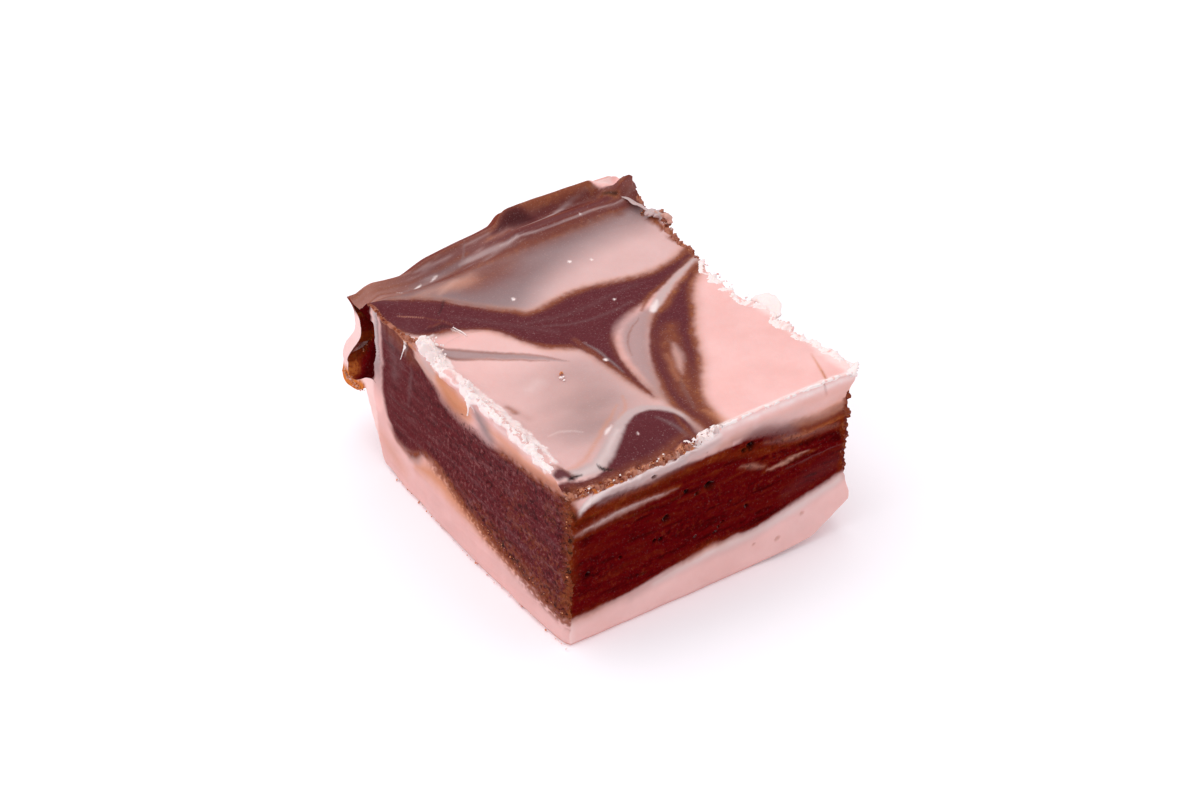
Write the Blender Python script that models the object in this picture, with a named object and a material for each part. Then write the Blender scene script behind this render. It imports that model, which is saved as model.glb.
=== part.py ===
"""One square-cut piece of swirled fudge, built as its three layers.

Frame: origin on the floor at the centre of the cut square, +Z up. The clean cut face that shows
the layers best looks along -X, the second cut face along -Y. The side that set against the
tray looks along +Y and leans outwards up to a lip. All lengths here are in millimetres.
"""
import bpy
import bmesh
import numpy as np
from mathutils import Vector, noise

MM = 0.001

# Driving dimensions
SIDE = 50.0           # cut square, along X and along Y
TOP = 28.5            # usual height of the top above the floor
GAP = 0.3             # clear space kept between two layers
TRAY_FOOT = 25.2      # y of the foot of the tray side
TRAY_LEAN = 0.374     # how far the tray side leans out for each mm of height
SKIN = 1.3            # thickness of the pink skin that climbs the tray side
FEATHER = 0.5         # thickness of the top layer where it runs out
TORN_IN = 2.4         # how deep the dark torn end lies behind the cut face
LOBE_END = -19.5      # the overhanging lobe keeps its section from x = -25 to here
LOBE_FADE = -10.5     # and is gone from here on
HALF = SIDE / 2


def line(points):
    """A smooth profile through a few (position, value) points, flat where they are level."""
    at, value = (np.array(column, float) for column in zip(*points))
    rise = np.diff(value) / np.diff(at)
    slope = np.concatenate(([rise[0]], np.zeros(len(at) - 2), [rise[-1]]))
    for k in range(1, len(at) - 1):
        if rise[k - 1] * rise[k] > 0:
            slope[k] = 2 * rise[k - 1] * rise[k] / (rise[k - 1] + rise[k])

    def read(q):
        k = int(min(max(np.searchsorted(at, q) - 1, 0), len(at) - 2))
        span = at[k + 1] - at[k]
        t = min(1.0, max(0.0, (q - at[k]) / span))
        return float((1 + 2 * t) * (1 - t) ** 2 * value[k] + t * t * (3 - 2 * t) * value[k + 1]
                     + span * t * (1 - t) * ((1 - t) * slope[k] - t * slope[k + 1]))

    return read


def ease(lo, hi, q):
    t = min(1.0, max(0.0, (q - lo) / (hi - lo)))
    return t * t * (3 - 2 * t)


def bump(x, y, cx, cy, rx, ry):
    """A round hill of height 1 at (cx, cy)."""
    d = ((x - cx) / rx) ** 2 + ((y - cy) / ry) ** 2
    return float(np.exp(-d))


def rough(x, y, z, scale, seed=0.0):
    """Seeded soft noise, about -1 to 1, with grains of the given size in mm."""
    return noise.noise(Vector((x / scale + seed, y / scale - seed, z / scale + 0.5 * seed)))


# Underside of the piece along X: it lifts towards the far end, with a broken bottom edge
under = line([(-25, 0), (7, 0), (12.6, 0.7), (19, 1.4), (22, 3.3), (23.8, 4.8), (25.2, 5.8)])

# Lip height along X where the tray side ends
lip = line([(-25, 26.8), (-17, 27.4), (-11.5, 28.2), (-6, 28.9), (1, 29.7), (3.5, 31.0),
            (12, 31.2), (24, 31.1), (26.5, 30.0)])

# Base layer's top along the two cut faces
base_top_a = line([(-25, 4.5), (-22, 5.1), (-15.4, 6.8), (-7.3, 8.1), (0.9, 9.7), (6, 10.7),
                   (10, 11.2), (13, 11.0), (18.3, 8.5), (22, 8.3)])
base_top_b = line([(-25, 4.5), (-19.4, 5.1), (-12.6, 5.6), (0.5, 6.9), (11.3, 8.3), (17.6, 9.8),
                   (25, 11.6)])

# Top edge along the two cut faces
top_a = line([(-25, 27.3), (-21.7, 28.9), (-14.5, 29.8), (0, 29.7), (4.2, 29.6), (9, 29.2),
              (12.5, 30.7), (18.5, 29.5), (24.4, 28.7), (28.6, 29.3), (31.2, 27.3), (33, 26.1),
              (36, 27.3)])
top_b = line([(-25, 27.7), (-21.4, 26.6), (-11, 26.5), (-5, 27.3), (1.6, 28.4), (12.9, 28.7),
              (19.2, 28.9), (23, 28.6), (26, 27.9)])

# Top layer's thickness along the two cut faces, and the line where it runs out on top
thick_a = line([(-25, 3.6), (-20, 4.8), (-13.3, 5.4), (-6.6, 6.4), (2.3, 5.5), (5.6, 4.2),
                (8.3, 2.3), (12.9, 0.8)])
thick_b = line([(-25, 3.4), (-19.4, 2.1), (-5, 2.2), (1.6, 3.2), (6, 3.6), (13, 5.3), (25, 5.0)])
run_out = line([(-25, 12.9), (-16.7, 14.6), (-9, 12.0), (0, 10.5), (12, 11.0), (25, 13.5)])


def wall_y(z):
    """The tray side: a small corner radius at the floor, then a straight lean."""
    return TRAY_FOOT + TRAY_LEAN * z + 0.9 * (1 - np.exp(-z / 0.9))


def base_top(x, y):
    along_b = base_top_b(x) - base_top_b(-25)
    return base_top_a(y) + along_b * (1 - 0.75 * ease(-25, 14, y))


def top_z(x, y):
    """The top: slumped at the front edge, level in the middle, with a drooping lip."""
    edge_a, edge_b = top_a(y), top_b(x)
    level = TOP + 0.25 * rough(x, y, 0, 9.0, 3.1) - 0.6 * bump(x, y, 4, 0, 14, 12)
    from_a = 1 - ease(-25, -20.5, x)
    from_b = 1 - ease(-25, -18, y)
    z = level + (edge_a - level) * from_a
    z += (edge_b - level) * from_b * (1 - 0.6 * from_a)
    # The rim: the top meets the lip, with a crease inside it near the first face
    rim = ease(27, 35.5, y)
    away = ease(-25, -12, x)
    z += (lip(x) + 0.3 - z) * rim * away
    droop = line([(-25, 0.0), (-20, 0.9), (-10, 1.6), (0, 0)])(x)
    z -= droop * bump(0, y, 0, 32.0, 1, 2.4)
    # The raised flap and the groove behind it
    flap = ease(0.5, 4.5, x) * (1 - ease(19, 22, x))
    z += flap * (1.0 * bump(0, y, 0, 36.4, 1, 1.1) - 1.3 * bump(0, y, 0, 34.2, 1, 0.9))
    # The curl at the far end of the rim, and a crumb in front of it
    z += 2.9 * bump(x, y, 25.3, 32.6, 2.2, 1.9) - 1.0 * bump(x, y, 23.5, 35.4, 1.2, 1.0)
    z += 1.6 * bump(x, y, 25.0, 25.0, 1.3, 2.3)
    # Raised ribs left by the knife along the first face
    z += 0.6 * bump(x, y, -24.6, 0.8, 1.0, 1.3) + 0.5 * bump(x, y, -24.6, 12.5, 1.3, 2.0)
    return z


def top_thickness(x, y):
    end = run_out(x)
    inner = 0.8 + 4.8 * min(1.0, max(0.0, (end - y) / 9.0)) ** 0.8
    from_a = 1 - ease(-25, -19, x)
    from_b = 1 - ease(-25, -10, y)
    t = inner + (thick_a(y) - inner) * from_a
    t += (thick_b(x) - t) * from_b * (1 - 0.5 * from_a)
    return max(0.8, t)


def cut_a(y, z):
    """x of the first cut face: bowed out at the floor, burred at the top, dragged by the knife."""
    x = -HALF - 1.0 * (1 - (min(abs(y), 25) / 25) ** 2) * (1 - ease(0, 22, z))
    x -= 0.45 * bump(0, z, 0, top_a(y) - 0.6, 1, 1.0)
    x += 0.30 * rough(0.4 * (y + z), 0.4 * y, (z - 0.7 * y), 3.2, 1.7)
    x += 0.12 * rough(0, y, z, 1.4, 5.3)
    # Broken front corner
    x += 0.7 * bump(y, z, -25, 20, 2.2, 5) + 0.5 * bump(y, z, -25, 8, 1.6, 4)
    return x


def cut_b(x, z):
    """y of the second cut face: torn in long shallow steps, with a crumbly top edge."""
    y = -HALF - 0.4 * bump(x, z, -8, 27, 14, 1.4)
    y += 0.35 * rough(x * 0.35, 0, z, 2.6, 8.2) + 0.15 * rough(x, 0, z, 1.6, 2.9)
    for px, pz, r in ((-0.6, 18.9, 1.3), (-8, 16.2, 0.9), (6.6, 23, 1.1), (6.1, 12.5, 0.8),
                      (1.6, 11.3, 0.8), (-16.1, 12.2, 0.8), (-9.6, 13.4, 0.7)):
        y += 0.7 * bump(x, z, px, pz, r, r * 0.7)
    return y


def cut_d(y, z):
    """x of the hidden end: a shallow waist, a broken foot and a burred top edge."""
    waist = line([(-25, 0.2), (-21, 1.7), (-11, 0.2), (-2, -1.2), (8, -0.5), (20, 1.2),
                  (30, 1.4), (36, 1.0)])(y)
    x = 23.7 + 1.4 * bump(0, z, 0, 6.0, 1, 3.0) + waist * ease(21, 27.5, z)
    x += 1.7 * bump(y, z, -23.4, 27.7, 2.6, 1.2) + 1.9 * bump(y, z, -4.5, 28.2, 2.4, 1.5)
    x += 0.3 * rough(0, y, z, 4.0, 6.6)
    return x


# Section through the lobe at the first face: outside, inside of the skin, and top of the fill
LOBE_OUT = [(26.3, 0.5), (27.3, 2.6), (28.6, 5.2), (30.1, 8.2), (31.0, 10.8), (31.6, 12.2),
            (32.9, 11.3), (34.5, 10.2), (36.4, 9.7), (38.3, 9.6), (39.2, 10.8), (38.6, 13.8),
            (37.6, 17.2), (35.1, 20.4), (33.9, 22.8), (34.0, 25.0), (35.0, 26.0), (36.0, 26.6)]
LOBE_IN = [(22.0, 8.3), (24.0, 9.5), (25.4, 11.8), (26.7, 14.4), (28.8, 15.3), (31.2, 14.4),
           (33.2, 13.0), (34.8, 12.0), (36.2, 11.6), (37.0, 12.0), (37.2, 12.9), (36.8, 14.6),
           (35.4, 17.2), (33.0, 20.2), (31.9, 22.6), (32.1, 24.5), (33.5, 25.4), (35.2, 26.7)]
LOBE_TOP_Y = [15.5, 17.2, 18.9, 20.6, 22.1, 23.4, 24.5, 25.5, 26.3, 27.0, 27.7, 28.4, 29.2, 30.1,
              31.0, 32.0, 33.3, 34.8]
# Plain section further along: heights on the tray side, and the skin's thickness there
WALL_Z = [0.5, 2.2, 4.2, 6.4, 8.6, 10.4, 11.8, 13.2, 14.6, 16.0, 17.4, 18.9, 20.4, 22.0, 23.6,
          25.2, 26.6, 27.8]
SKIN_T = [7.2, 6.3, 5.6, 5.0, 4.5, 4.1, 3.7, 3.3, 2.9, 2.6, 2.3, 2.0, 1.8, 1.6, 1.5, 1.4, SKIN,
          SKIN]
FLOOR_ROWS = 17                      # rows from the front face to the foot of the tray side
CLIMB_ROWS = len(LOBE_OUT)           # rows from there up to the lip
ROWS = FLOOR_ROWS + CLIMB_ROWS - 1


def lobe_share(x):
    return 1 - ease(LOBE_END, LOBE_FADE, x)


def mix(a, b, t):
    return a[0] + (b[0] - a[0]) * t, a[1] + (b[1] - a[1]) * t


def outside(x, row):
    """Point (y, z) of the outer section at a row, from the front face round to the lip."""
    if row < FLOOR_ROWS:
        return -HALF + row * (HALF + 25.0) / FLOOR_ROWS, under(x)
    k = row - FLOOR_ROWS
    z = WALL_Z[k] * lip(x) / WALL_Z[-1]
    z = max(z, under(x) + 0.3 * k + 0.15)
    plain = (wall_y(z), z)
    return mix(plain, LOBE_OUT[k], lobe_share(x))


def inside(x, row):
    """Point (y, z) of the top of the base layer and the inside of its skin."""
    if row < FLOOR_ROWS:
        y = -HALF + row * (HALF + 20.0) / FLOOR_ROWS
        return y, base_top(x, y)
    k = row - FLOOR_ROWS
    lift = base_top(x, 20.0)
    z = lift + (lip(x) + 0.1 - lift) * (k / (CLIMB_ROWS - 1.0)) ** 1.15
    plain = (wall_y(z) - SKIN_T[k], z)
    return mix(plain, LOBE_IN[k], lobe_share(x))


def fill_foot(x, row):
    """The base layer's inner line moved in by the gap: the underside of the chocolate."""
    y0, z0 = inside(x, max(0, row - 1))
    y1, z1 = inside(x, min(ROWS, row + 1))
    dy, dz = y1 - y0, z1 - z0
    size = (dy * dy + dz * dz) ** 0.5
    y, z = inside(x, row)
    return (y - GAP * 1.15 * dz / size if row else y), z + GAP * 1.15 * dy / size


def fill_top(x, row):
    """Top of the chocolate: under the top layer first, then the open rim out to the lip."""
    end = run_out(x)
    last_covered = FLOOR_ROWS - 3
    if row <= last_covered:
        y = -HALF + (end + HALF) * row / last_covered
        return y, top_z(x, y) - top_thickness(x, y)
    if row < FLOOR_ROWS:
        y = end + 0.4 + 0.9 * (row - last_covered - 1)
        return y, top_z(x, y)
    k = row - FLOOR_ROWS
    start = end + 1.3
    y_lip = fill_foot(x, ROWS)[0] - 0.1
    share = (LOBE_TOP_Y[k] - 14.2) / (34.8 - 14.2)
    y = start + (y_lip - start) * share
    return y, max(top_z(x, y), fill_foot(x, row)[1] + FEATHER)


def cover_foot(x, t):
    y = -HALF + (run_out(x) - GAP * 1.3 + HALF) * t
    return y, top_z(x, y) - top_thickness(x, y) + GAP * 1.1


def cover_top(x, t):
    y = -HALF + (run_out(x) - GAP * 1.3 + HALF) * t
    return y, top_z(x, y)


def between(x, low, high, middle, t):
    """Quadratic path from the low to the high point of a row, bent towards the middle point."""
    if middle is None:
        return mix(low, high, t)
    a, b = mix(low, middle, t), mix(middle, high, t)
    return mix(a, b, t)


def settle(x_share, y, z, torn=0.0):
    """Place a section point between the two end faces and push the front row to its face."""
    xa, xd = cut_a(y, z) + torn, cut_d(y, z)
    x = xa + (xd - xa) * x_share
    front = 1 - ease(-HALF, -HALF + 5, y)
    return Vector((x, y + (cut_b(x, z) + HALF) * front, z)) * MM


def torn_depth(y, z):
    """How far the dark end of the chocolate lies behind the first cut face."""
    inside_lobe = ease(27.6, 29.6, y + 0.28 * (z - 21) * (z < 21))
    under_lip = 1 - ease(24.2, 26.4, z - 0.35 * (28.6 - y) * (y < 28.6))
    return TORN_IN * inside_lobe * under_lip * (1 + 0.5 * rough(0, y, z, 1.6, 9.1))


def nominal_x(share):
    return -HALF + SIDE * share


def base_point(a, b, c):
    x, row = nominal_x(a), int(round(b * ROWS))
    y, z = mix(outside(x, row), inside(x, row), c)
    return settle(a, y, z)


def chocolate_point(a, b, c):
    x, row = nominal_x(a), int(round(b * ROWS))
    low, high = fill_foot(x, row), fill_top(x, row)
    middle = None
    if row >= FLOOR_ROWS:
        straight = mix(low, high, 0.5)
        inner = (29.5 - 0.1 * (ROWS - row), 21.5 + 0.1 * (row - FLOOR_ROWS))
        middle = mix(straight, inner, 0.75 * lobe_share(x) * ease(3, 7, row - FLOOR_ROWS)
                     * (1 - ease(13, 16, row - FLOOR_ROWS)))
    y, z = between(x, low, high, middle, c)
    torn = torn_depth(y, z) * (1 - ease(0, 0.12, a))
    return settle(a, y, z, torn)


def top_point(a, b, c):
    x = nominal_x(a)
    y, z = mix(cover_foot(x, b), cover_top(x, b), c)
    return settle(a, y, z)


def even(n):
    return [k / n for k in range(1, n)]


def edged(n):
    """Cuts that crowd towards both ends, where the edges need more shape."""
    return [0.5 - 0.5 * np.cos(np.pi * k / n) for k in range(1, n)]


def layer(name, cuts, place, colour, roughness, collection):
    """A cube cut into cells, each corner of which is then moved to its place in the layer."""
    bm = bmesh.new()
    bmesh.ops.create_cube(bm, size=1.0)
    bmesh.ops.translate(bm, verts=bm.verts[:], vec=(0.5, 0.5, 0.5))
    for axis, values in enumerate(cuts):
        normal = Vector((0, 0, 0))
        normal[axis] = 1
        for value in values:
            everything = bm.verts[:] + bm.edges[:] + bm.faces[:]
            bmesh.ops.bisect_plane(bm, geom=everything, plane_co=normal * value,
                                   plane_no=normal, dist=1e-6)
    for v in bm.verts:
        v.co = place(*v.co)
    bmesh.ops.triangulate(bm, faces=bm.faces[:], quad_method='SHORT_EDGE')
    mesh = bpy.data.meshes.new(name)
    bm.to_mesh(mesh)
    bm.free()
    mesh.shade_smooth()
    mesh.set_sharp_from_angle(angle=np.radians(40))
    material = bpy.data.materials.new(name + "_fudge")
    material.use_nodes = True
    shader = material.node_tree.nodes["Principled BSDF"]
    shader.inputs["Base Color"].default_value = (*colour, 1)
    shader.inputs["Roughness"].default_value = roughness
    shader.inputs["Metallic"].default_value = 0.0
    mesh.materials.append(material)
    piece = bpy.data.objects.new(name, mesh)
    collection.objects.link(piece)
    return piece


def main():
    for old in list(bpy.data.objects):
        bpy.data.objects.remove(old, do_unlink=True)
    collection = bpy.data.collections.new("fudge")
    bpy.context.scene.collection.children.link(collection)
    rows = even(ROWS)
    layer("base_layer", (edged(26), rows, even(3)), base_point, (0.76, 0.42, 0.38), 0.55,
          collection)
    layer("chocolate_layer", (edged(26), rows, even(7)), chocolate_point, (0.09, 0.018, 0.014),
          0.5, collection)
    layer("top_layer", (edged(26), edged(20), even(3)), top_point, (0.85, 0.58, 0.52), 0.5,
          collection)


main()
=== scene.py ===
import math

import bpy
import numpy as np
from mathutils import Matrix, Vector


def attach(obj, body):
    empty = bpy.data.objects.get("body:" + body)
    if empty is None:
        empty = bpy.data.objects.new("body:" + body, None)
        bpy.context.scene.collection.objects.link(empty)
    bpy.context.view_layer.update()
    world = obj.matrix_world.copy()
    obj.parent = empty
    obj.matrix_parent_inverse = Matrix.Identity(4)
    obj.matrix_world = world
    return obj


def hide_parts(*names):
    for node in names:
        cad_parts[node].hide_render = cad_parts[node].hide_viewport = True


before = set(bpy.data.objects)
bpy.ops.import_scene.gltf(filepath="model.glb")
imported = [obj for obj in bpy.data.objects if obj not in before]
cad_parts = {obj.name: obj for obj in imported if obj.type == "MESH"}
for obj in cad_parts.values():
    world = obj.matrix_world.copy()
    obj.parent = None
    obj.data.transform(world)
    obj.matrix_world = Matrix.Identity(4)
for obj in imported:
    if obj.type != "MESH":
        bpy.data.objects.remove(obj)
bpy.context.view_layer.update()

# A square-cut piece of swirled fudge. Its lengths are millimetres until a mesh is made, and the
# floor, lights and camera are in metres. The first cut face looks along -X, the second along -Y,
# the tray side along +Y.
MM = 0.001
HALF = 25.0
# The least thickness of the cocoa where it thins to nothing under the lip
FEATHER = 0.5
# Rows of the section: across the floor first, then up the tray side to the lip
FLOOR_ROWS = 17
CLIMB_ROWS = 17
ROWS = FLOOR_ROWS + CLIMB_ROWS
# The top's height in the middle, and how deep the torn end is sunk inside the fold
TOP_LEVEL = 28.5
RECESS = 2.4
# The tray side: where its foot is, how far it leans out per mm of height, and its round
WALL_FOOT, WALL_LEAN, FOOT_ROUND = 25.2, 0.374, 0.9
# Pits in the second cut above this height are in the cocoa, and the others in the pink
COCOA_FROM = 8.0


# Small shape helpers, all of which take and return arrays

def line(points):
    """A smooth profile through a few (position, value) points, flat where they are level."""
    at, value = (np.array(column, float) for column in zip(*points))
    rise = np.diff(value) / np.diff(at)
    slope = np.concatenate(([rise[0]], np.zeros(len(at) - 2), [rise[-1]]))
    for k in range(1, len(at) - 1):
        if rise[k - 1] * rise[k] > 0:
            slope[k] = 2 * rise[k - 1] * rise[k] / (rise[k - 1] + rise[k])

    def read(q):
        q = np.asarray(q, float)
        k = np.clip(np.searchsorted(at, q) - 1, 0, len(at) - 2)
        span = at[k + 1] - at[k]
        t = np.clip((q - at[k]) / span, 0, 1)
        return ((1 + 2 * t) * (1 - t) ** 2 * value[k] + t * t * (3 - 2 * t) * value[k + 1]
                + span * t * (1 - t) * ((1 - t) * slope[k] - t * slope[k + 1]))

    return read


def ease(lo, hi, q):
    """0 up to lo, 1 from hi on, and smooth between."""
    t = np.clip((q - lo) / (hi - lo), 0, 1)
    return t * t * (3 - 2 * t)


def bump(x, y, cx, cy, rx, ry):
    """A soft round swelling: 1 at (cx, cy) and almost 0 at twice the radii."""
    return np.exp(-((x - cx) / rx) ** 2 - ((y - cy) / ry) ** 2)


def mix(a, b, t):
    """a where t is 0 and b where t is 1."""
    return a + (b - a) * t


def hashed(ix, iy, iz, seed):
    """A fixed value from 0 to 1 for each whole cell, by the usual mixing of large primes."""
    h = (ix * 374761393 + iy * 668265263 + iz * 1103515245 + seed * 144665) & 0xFFFFFFFF
    h = ((h ^ (h >> 13)) * 1274126177) & 0xFFFFFFFF
    return ((h ^ (h >> 16)) & 0xFFFFFF) / float(0xFFFFFF)


def noise(x, y, z, scale, seed=1):
    """Soft noise from -1 to 1, with grains of the given size in mm."""
    p = [np.asarray(q, float) / scale for q in np.broadcast_arrays(x, y, z)]
    cell = [np.floor(q).astype(np.int64) for q in p]
    f = [q - c for q, c in zip(p, cell)]
    f = [q * q * (3 - 2 * q) for q in f]
    total = 0.0
    for dx in (0, 1):
        for dy in (0, 1):
            for dz in (0, 1):
                w = ((f[0] if dx else 1 - f[0]) * (f[1] if dy else 1 - f[1])
                     * (f[2] if dz else 1 - f[2]))
                total = total + w * hashed(cell[0] + dx, cell[1] + dy, cell[2] + dz, seed)
    return 2 * total - 1


def cloud(x, y, z, scale, seed=1, octaves=3):
    """Noise with finer noise laid over it, each octave half the size and strength."""
    total, size = 0.0, 1.0
    for k in range(octaves):
        total = total + size * noise(x, y, z, scale * 0.5 ** k, seed + 7 * k)
        size *= 0.5
    return total / 1.6


def grains(x, y, z, scale, seed=1):
    """Rounded crumbs: 1 at the middle of a crumb, 0 between crumbs."""
    p = [np.asarray(q, float) / scale for q in np.broadcast_arrays(x, y, z)]
    cell = [np.floor(q).astype(np.int64) for q in p]
    near = np.full(p[0].shape, 9.0)
    for dx in (-1, 0, 1):
        for dy in (-1, 0, 1):
            for dz in (-1, 0, 1):
                c = [cell[0] + dx, cell[1] + dy, cell[2] + dz]
                d = sum((q + hashed(*c, seed + n) - p[n]) ** 2 for n, q in enumerate(c))
                near = np.minimum(near, d)
    return np.clip(1 - 1.3 * near, 0, 1)


# The shape: the same named profiles as the solids, in finer steps

# Along x: the underside, which lifts towards the far end, and the lip on the tray side
under = line([(-25, 0), (7, 0), (12.6, 0.7), (19, 1.4), (22, 3.3), (23.8, 4.8), (25.2, 5.8)])
lip = line([(-25, 26.8), (-17, 27.4), (-11.5, 28.2), (-6, 28.9), (1, 29.7), (3.5, 31.0),
            (12, 31.2), (24, 31.1), (26.5, 30.0)])
# On each cut: the top of the pink base, the edge of the top, and the marbled layer's thickness
base_top_a = line([(-25, 4.5), (-22, 5.1), (-15.4, 6.8), (-7.3, 8.1), (0.9, 9.7), (6, 10.7),
                   (10, 11.2), (13, 11.0), (18.3, 8.5), (22, 8.3)])
base_top_b = line([(-25, 4.5), (-19.4, 5.1), (-12.6, 5.6), (0.5, 6.9), (11.3, 8.3), (17.6, 9.8),
                   (25, 11.6)])
top_a = line([(-25, 27.3), (-21.7, 28.9), (-14.5, 29.8), (0, 29.7), (4.2, 29.6), (9, 29.2),
              (12.5, 30.7), (18.5, 29.5), (24.4, 28.7), (28.6, 29.3), (31.2, 27.3), (33, 26.1),
              (36, 27.3)])
top_b = line([(-25, 27.7), (-21.4, 26.6), (-11, 26.5), (-5, 27.3), (1.6, 28.4), (12.9, 28.7),
              (19.2, 28.9), (23, 28.6), (26, 27.9)])
thick_a = line([(-25, 3.6), (-20, 4.8), (-13.3, 5.4), (-6.6, 6.4), (2.3, 5.5), (5.6, 4.2),
                (8.3, 2.3), (12.9, 0.8)])
thick_b = line([(-25, 3.4), (-19.4, 2.1), (-5, 2.2), (1.6, 3.2), (6, 3.6), (13, 5.3), (25, 5.0)])
# Along x: the y at which the marbled top runs out, and the droop before the lip. Along y: the
# waist of the far end.
run_out = line([(-25, 12.9), (-16.7, 14.6), (-9, 12.0), (0, 10.5), (12, 11.0), (25, 13.5)])
droop_at = line([(-25, 0.0), (-20, 0.9), (-10, 1.6), (0, 0)])
waist = line([(-25, 0.2), (-21, 1.7), (-11, 0.2), (-2, -1.2), (8, -0.5), (20, 1.2), (30, 1.4),
              (36, 1.0)])

# The torn lobe's section as (y, z), one point a climb row: round its outside, then its inside
LOBE_OUT = np.array([(26.3, 0.5), (27.3, 2.6), (28.6, 5.2), (30.1, 8.2), (31.0, 10.8),
                     (31.6, 12.2), (32.9, 11.3), (34.5, 10.2), (36.4, 9.7), (38.3, 9.6),
                     (39.2, 10.8), (38.6, 13.8), (37.6, 17.2), (35.1, 20.4), (33.9, 22.8),
                     (34.0, 25.0), (35.0, 26.0), (36.0, 26.6)])
LOBE_IN = np.array([(22.0, 8.3), (24.0, 9.5), (25.4, 11.8), (26.7, 14.4), (28.8, 15.3),
                    (31.2, 14.4), (33.2, 13.0), (34.8, 12.0), (36.2, 11.6), (37.0, 12.0),
                    (37.2, 12.9), (36.8, 14.6), (35.4, 17.2), (33.0, 20.2), (31.9, 22.6),
                    (32.1, 24.5), (33.5, 25.4), (35.2, 26.7)])
# At each climb row: y of the cocoa's top over the lobe, the tray side's height, and its skin's
# thickness
LOBE_TOP_Y = np.array([15.5, 17.2, 18.9, 20.6, 22.1, 23.4, 24.5, 25.5, 26.3, 27.0, 27.7, 28.4,
                       29.2, 30.1, 31.0, 32.0, 33.3, 34.8])
WALL_Z = np.array([0.5, 2.2, 4.2, 6.4, 8.6, 10.4, 11.8, 13.2, 14.6, 16.0, 17.4, 18.9, 20.4,
                   22.0, 23.6, 25.2, 26.6, 27.8])
SKIN_T = np.array([7.2, 6.3, 5.6, 5.0, 4.5, 4.1, 3.7, 3.3, 2.9, 2.6, 2.3, 2.0, 1.8, 1.6, 1.5,
                   1.4, 1.3, 1.3])


def climbed(table, k):
    """Read a table of climb rows at a fractional row, with a soft curve between rows."""
    k = np.clip(k, 0, CLIMB_ROWS)
    j = np.clip(np.floor(k).astype(int), 0, CLIMB_ROWS - 1)
    t = k - j
    p0, p1 = table[np.clip(j - 1, 0, CLIMB_ROWS)], table[j]
    p2, p3 = table[j + 1], table[np.clip(j + 2, 0, CLIMB_ROWS)]
    return p1 + 0.5 * t * (p2 - p0 + t * (2 * p0 - 5 * p1 + 4 * p2 - p3
                                          + t * (3 * (p1 - p2) + p3 - p0)))


def wall_y(z):
    """y of the leaning tray side at a height, with the small round of its foot."""
    return WALL_FOOT + WALL_LEAN * z + FOOT_ROUND * (1 - np.exp(-z / FOOT_ROUND))


def base_top(x, y):
    """Height of the pink base, read off the two cuts and carried across between them."""
    return base_top_a(y) + (base_top_b(x) - base_top_b(-25)) * (1 - 0.75 * ease(-25, 14, y))


def top_z(x, y):
    """The top: slumped at the front edge, level in the middle, with a drooping lip."""
    edge_a, edge_b = top_a(y), top_b(x)
    level = TOP_LEVEL + 0.2 * noise(x, y, 0, 9.0, 31) - 0.6 * bump(x, y, 4, 0, 14, 12)
    from_a = 1 - ease(-25, -20.5, x)
    from_b = 1 - ease(-25, -18, y)
    z = level + (edge_a - level) * from_a
    z = z + (edge_b - level) * from_b * (1 - 0.6 * from_a)
    rim = ease(27, 35.5, y)
    z = z + (lip(x) + 0.3 - z) * rim * ease(-25, -12, x)
    z = z - droop_at(x) * bump(0, y, 0, 32.0, 1, 2.4)
    # The raised flap with the valley before it, the curl at the far corner with its dip, the
    # rise under the torn knot, and two small rises on the first cut
    flap = ease(0.5, 4.5, x) * (1 - ease(19, 22, x))
    z = z + flap * (1.0 * bump(0, y, 0, 36.4, 1, 1.1) - 1.3 * bump(0, y, 0, 34.2, 1, 0.9))
    z = z + 2.9 * bump(x, y, 25.3, 32.6, 2.2, 1.9) - 1.0 * bump(x, y, 23.5, 35.4, 1.2, 1.0)
    z = z + 1.6 * bump(x, y, 25.0, 25.0, 1.3, 2.3)
    z = z + 0.6 * bump(x, y, -24.6, 0.8, 1.0, 1.3) + 0.5 * bump(x, y, -24.6, 12.5, 1.3, 2.0)
    # Fine relief: drag ribs behind the lip, a soft skin, flaky knife burr along the two cuts
    ribs = ease(28.5, 31, y)
    z = z + ribs * 0.16 * noise(x / 14, y / 0.9, 0, 1.0, 32)
    z = z + 0.05 * cloud(x, y, 0, 3.0, 33)
    flaky = (1 - ease(-23.6, -21.6, x)) * ease(-22, -19, y) * (1 - ease(12, 17, y))
    z = z + flaky * (0.35 + 0.5 * cloud(x, y, 0, 1.1, 34, 4))
    crumbly = (1 - ease(-24.6, -22.8, y)) * (1 - ease(-1, 1, x))
    z = z + crumbly * 0.55 * cloud(x, y, 0, 0.9, 35, 4)
    smooth_burr = bump(0, y, 0, -24.7, 1, 0.5) * ease(-2, 2, x)
    z = z + smooth_burr * (0.28 + 0.2 * cloud(x, y, 0, 1.2, 36))
    return z


def top_thickness(x, y):
    """How deep the marbled top is: it follows the two cuts and thins out towards the rim."""
    inner = 0.8 + 4.8 * np.clip((run_out(x) - y) / 9.0, 0, 1) ** 0.8
    from_a = 1 - ease(-25, -19, x)
    from_b = 1 - ease(-25, -10, y)
    t = inner + (thick_a(y) - inner) * from_a
    t = t + (thick_b(x) - t) * from_b * (1 - 0.5 * from_a)
    return np.maximum(0.8, t)


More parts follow.
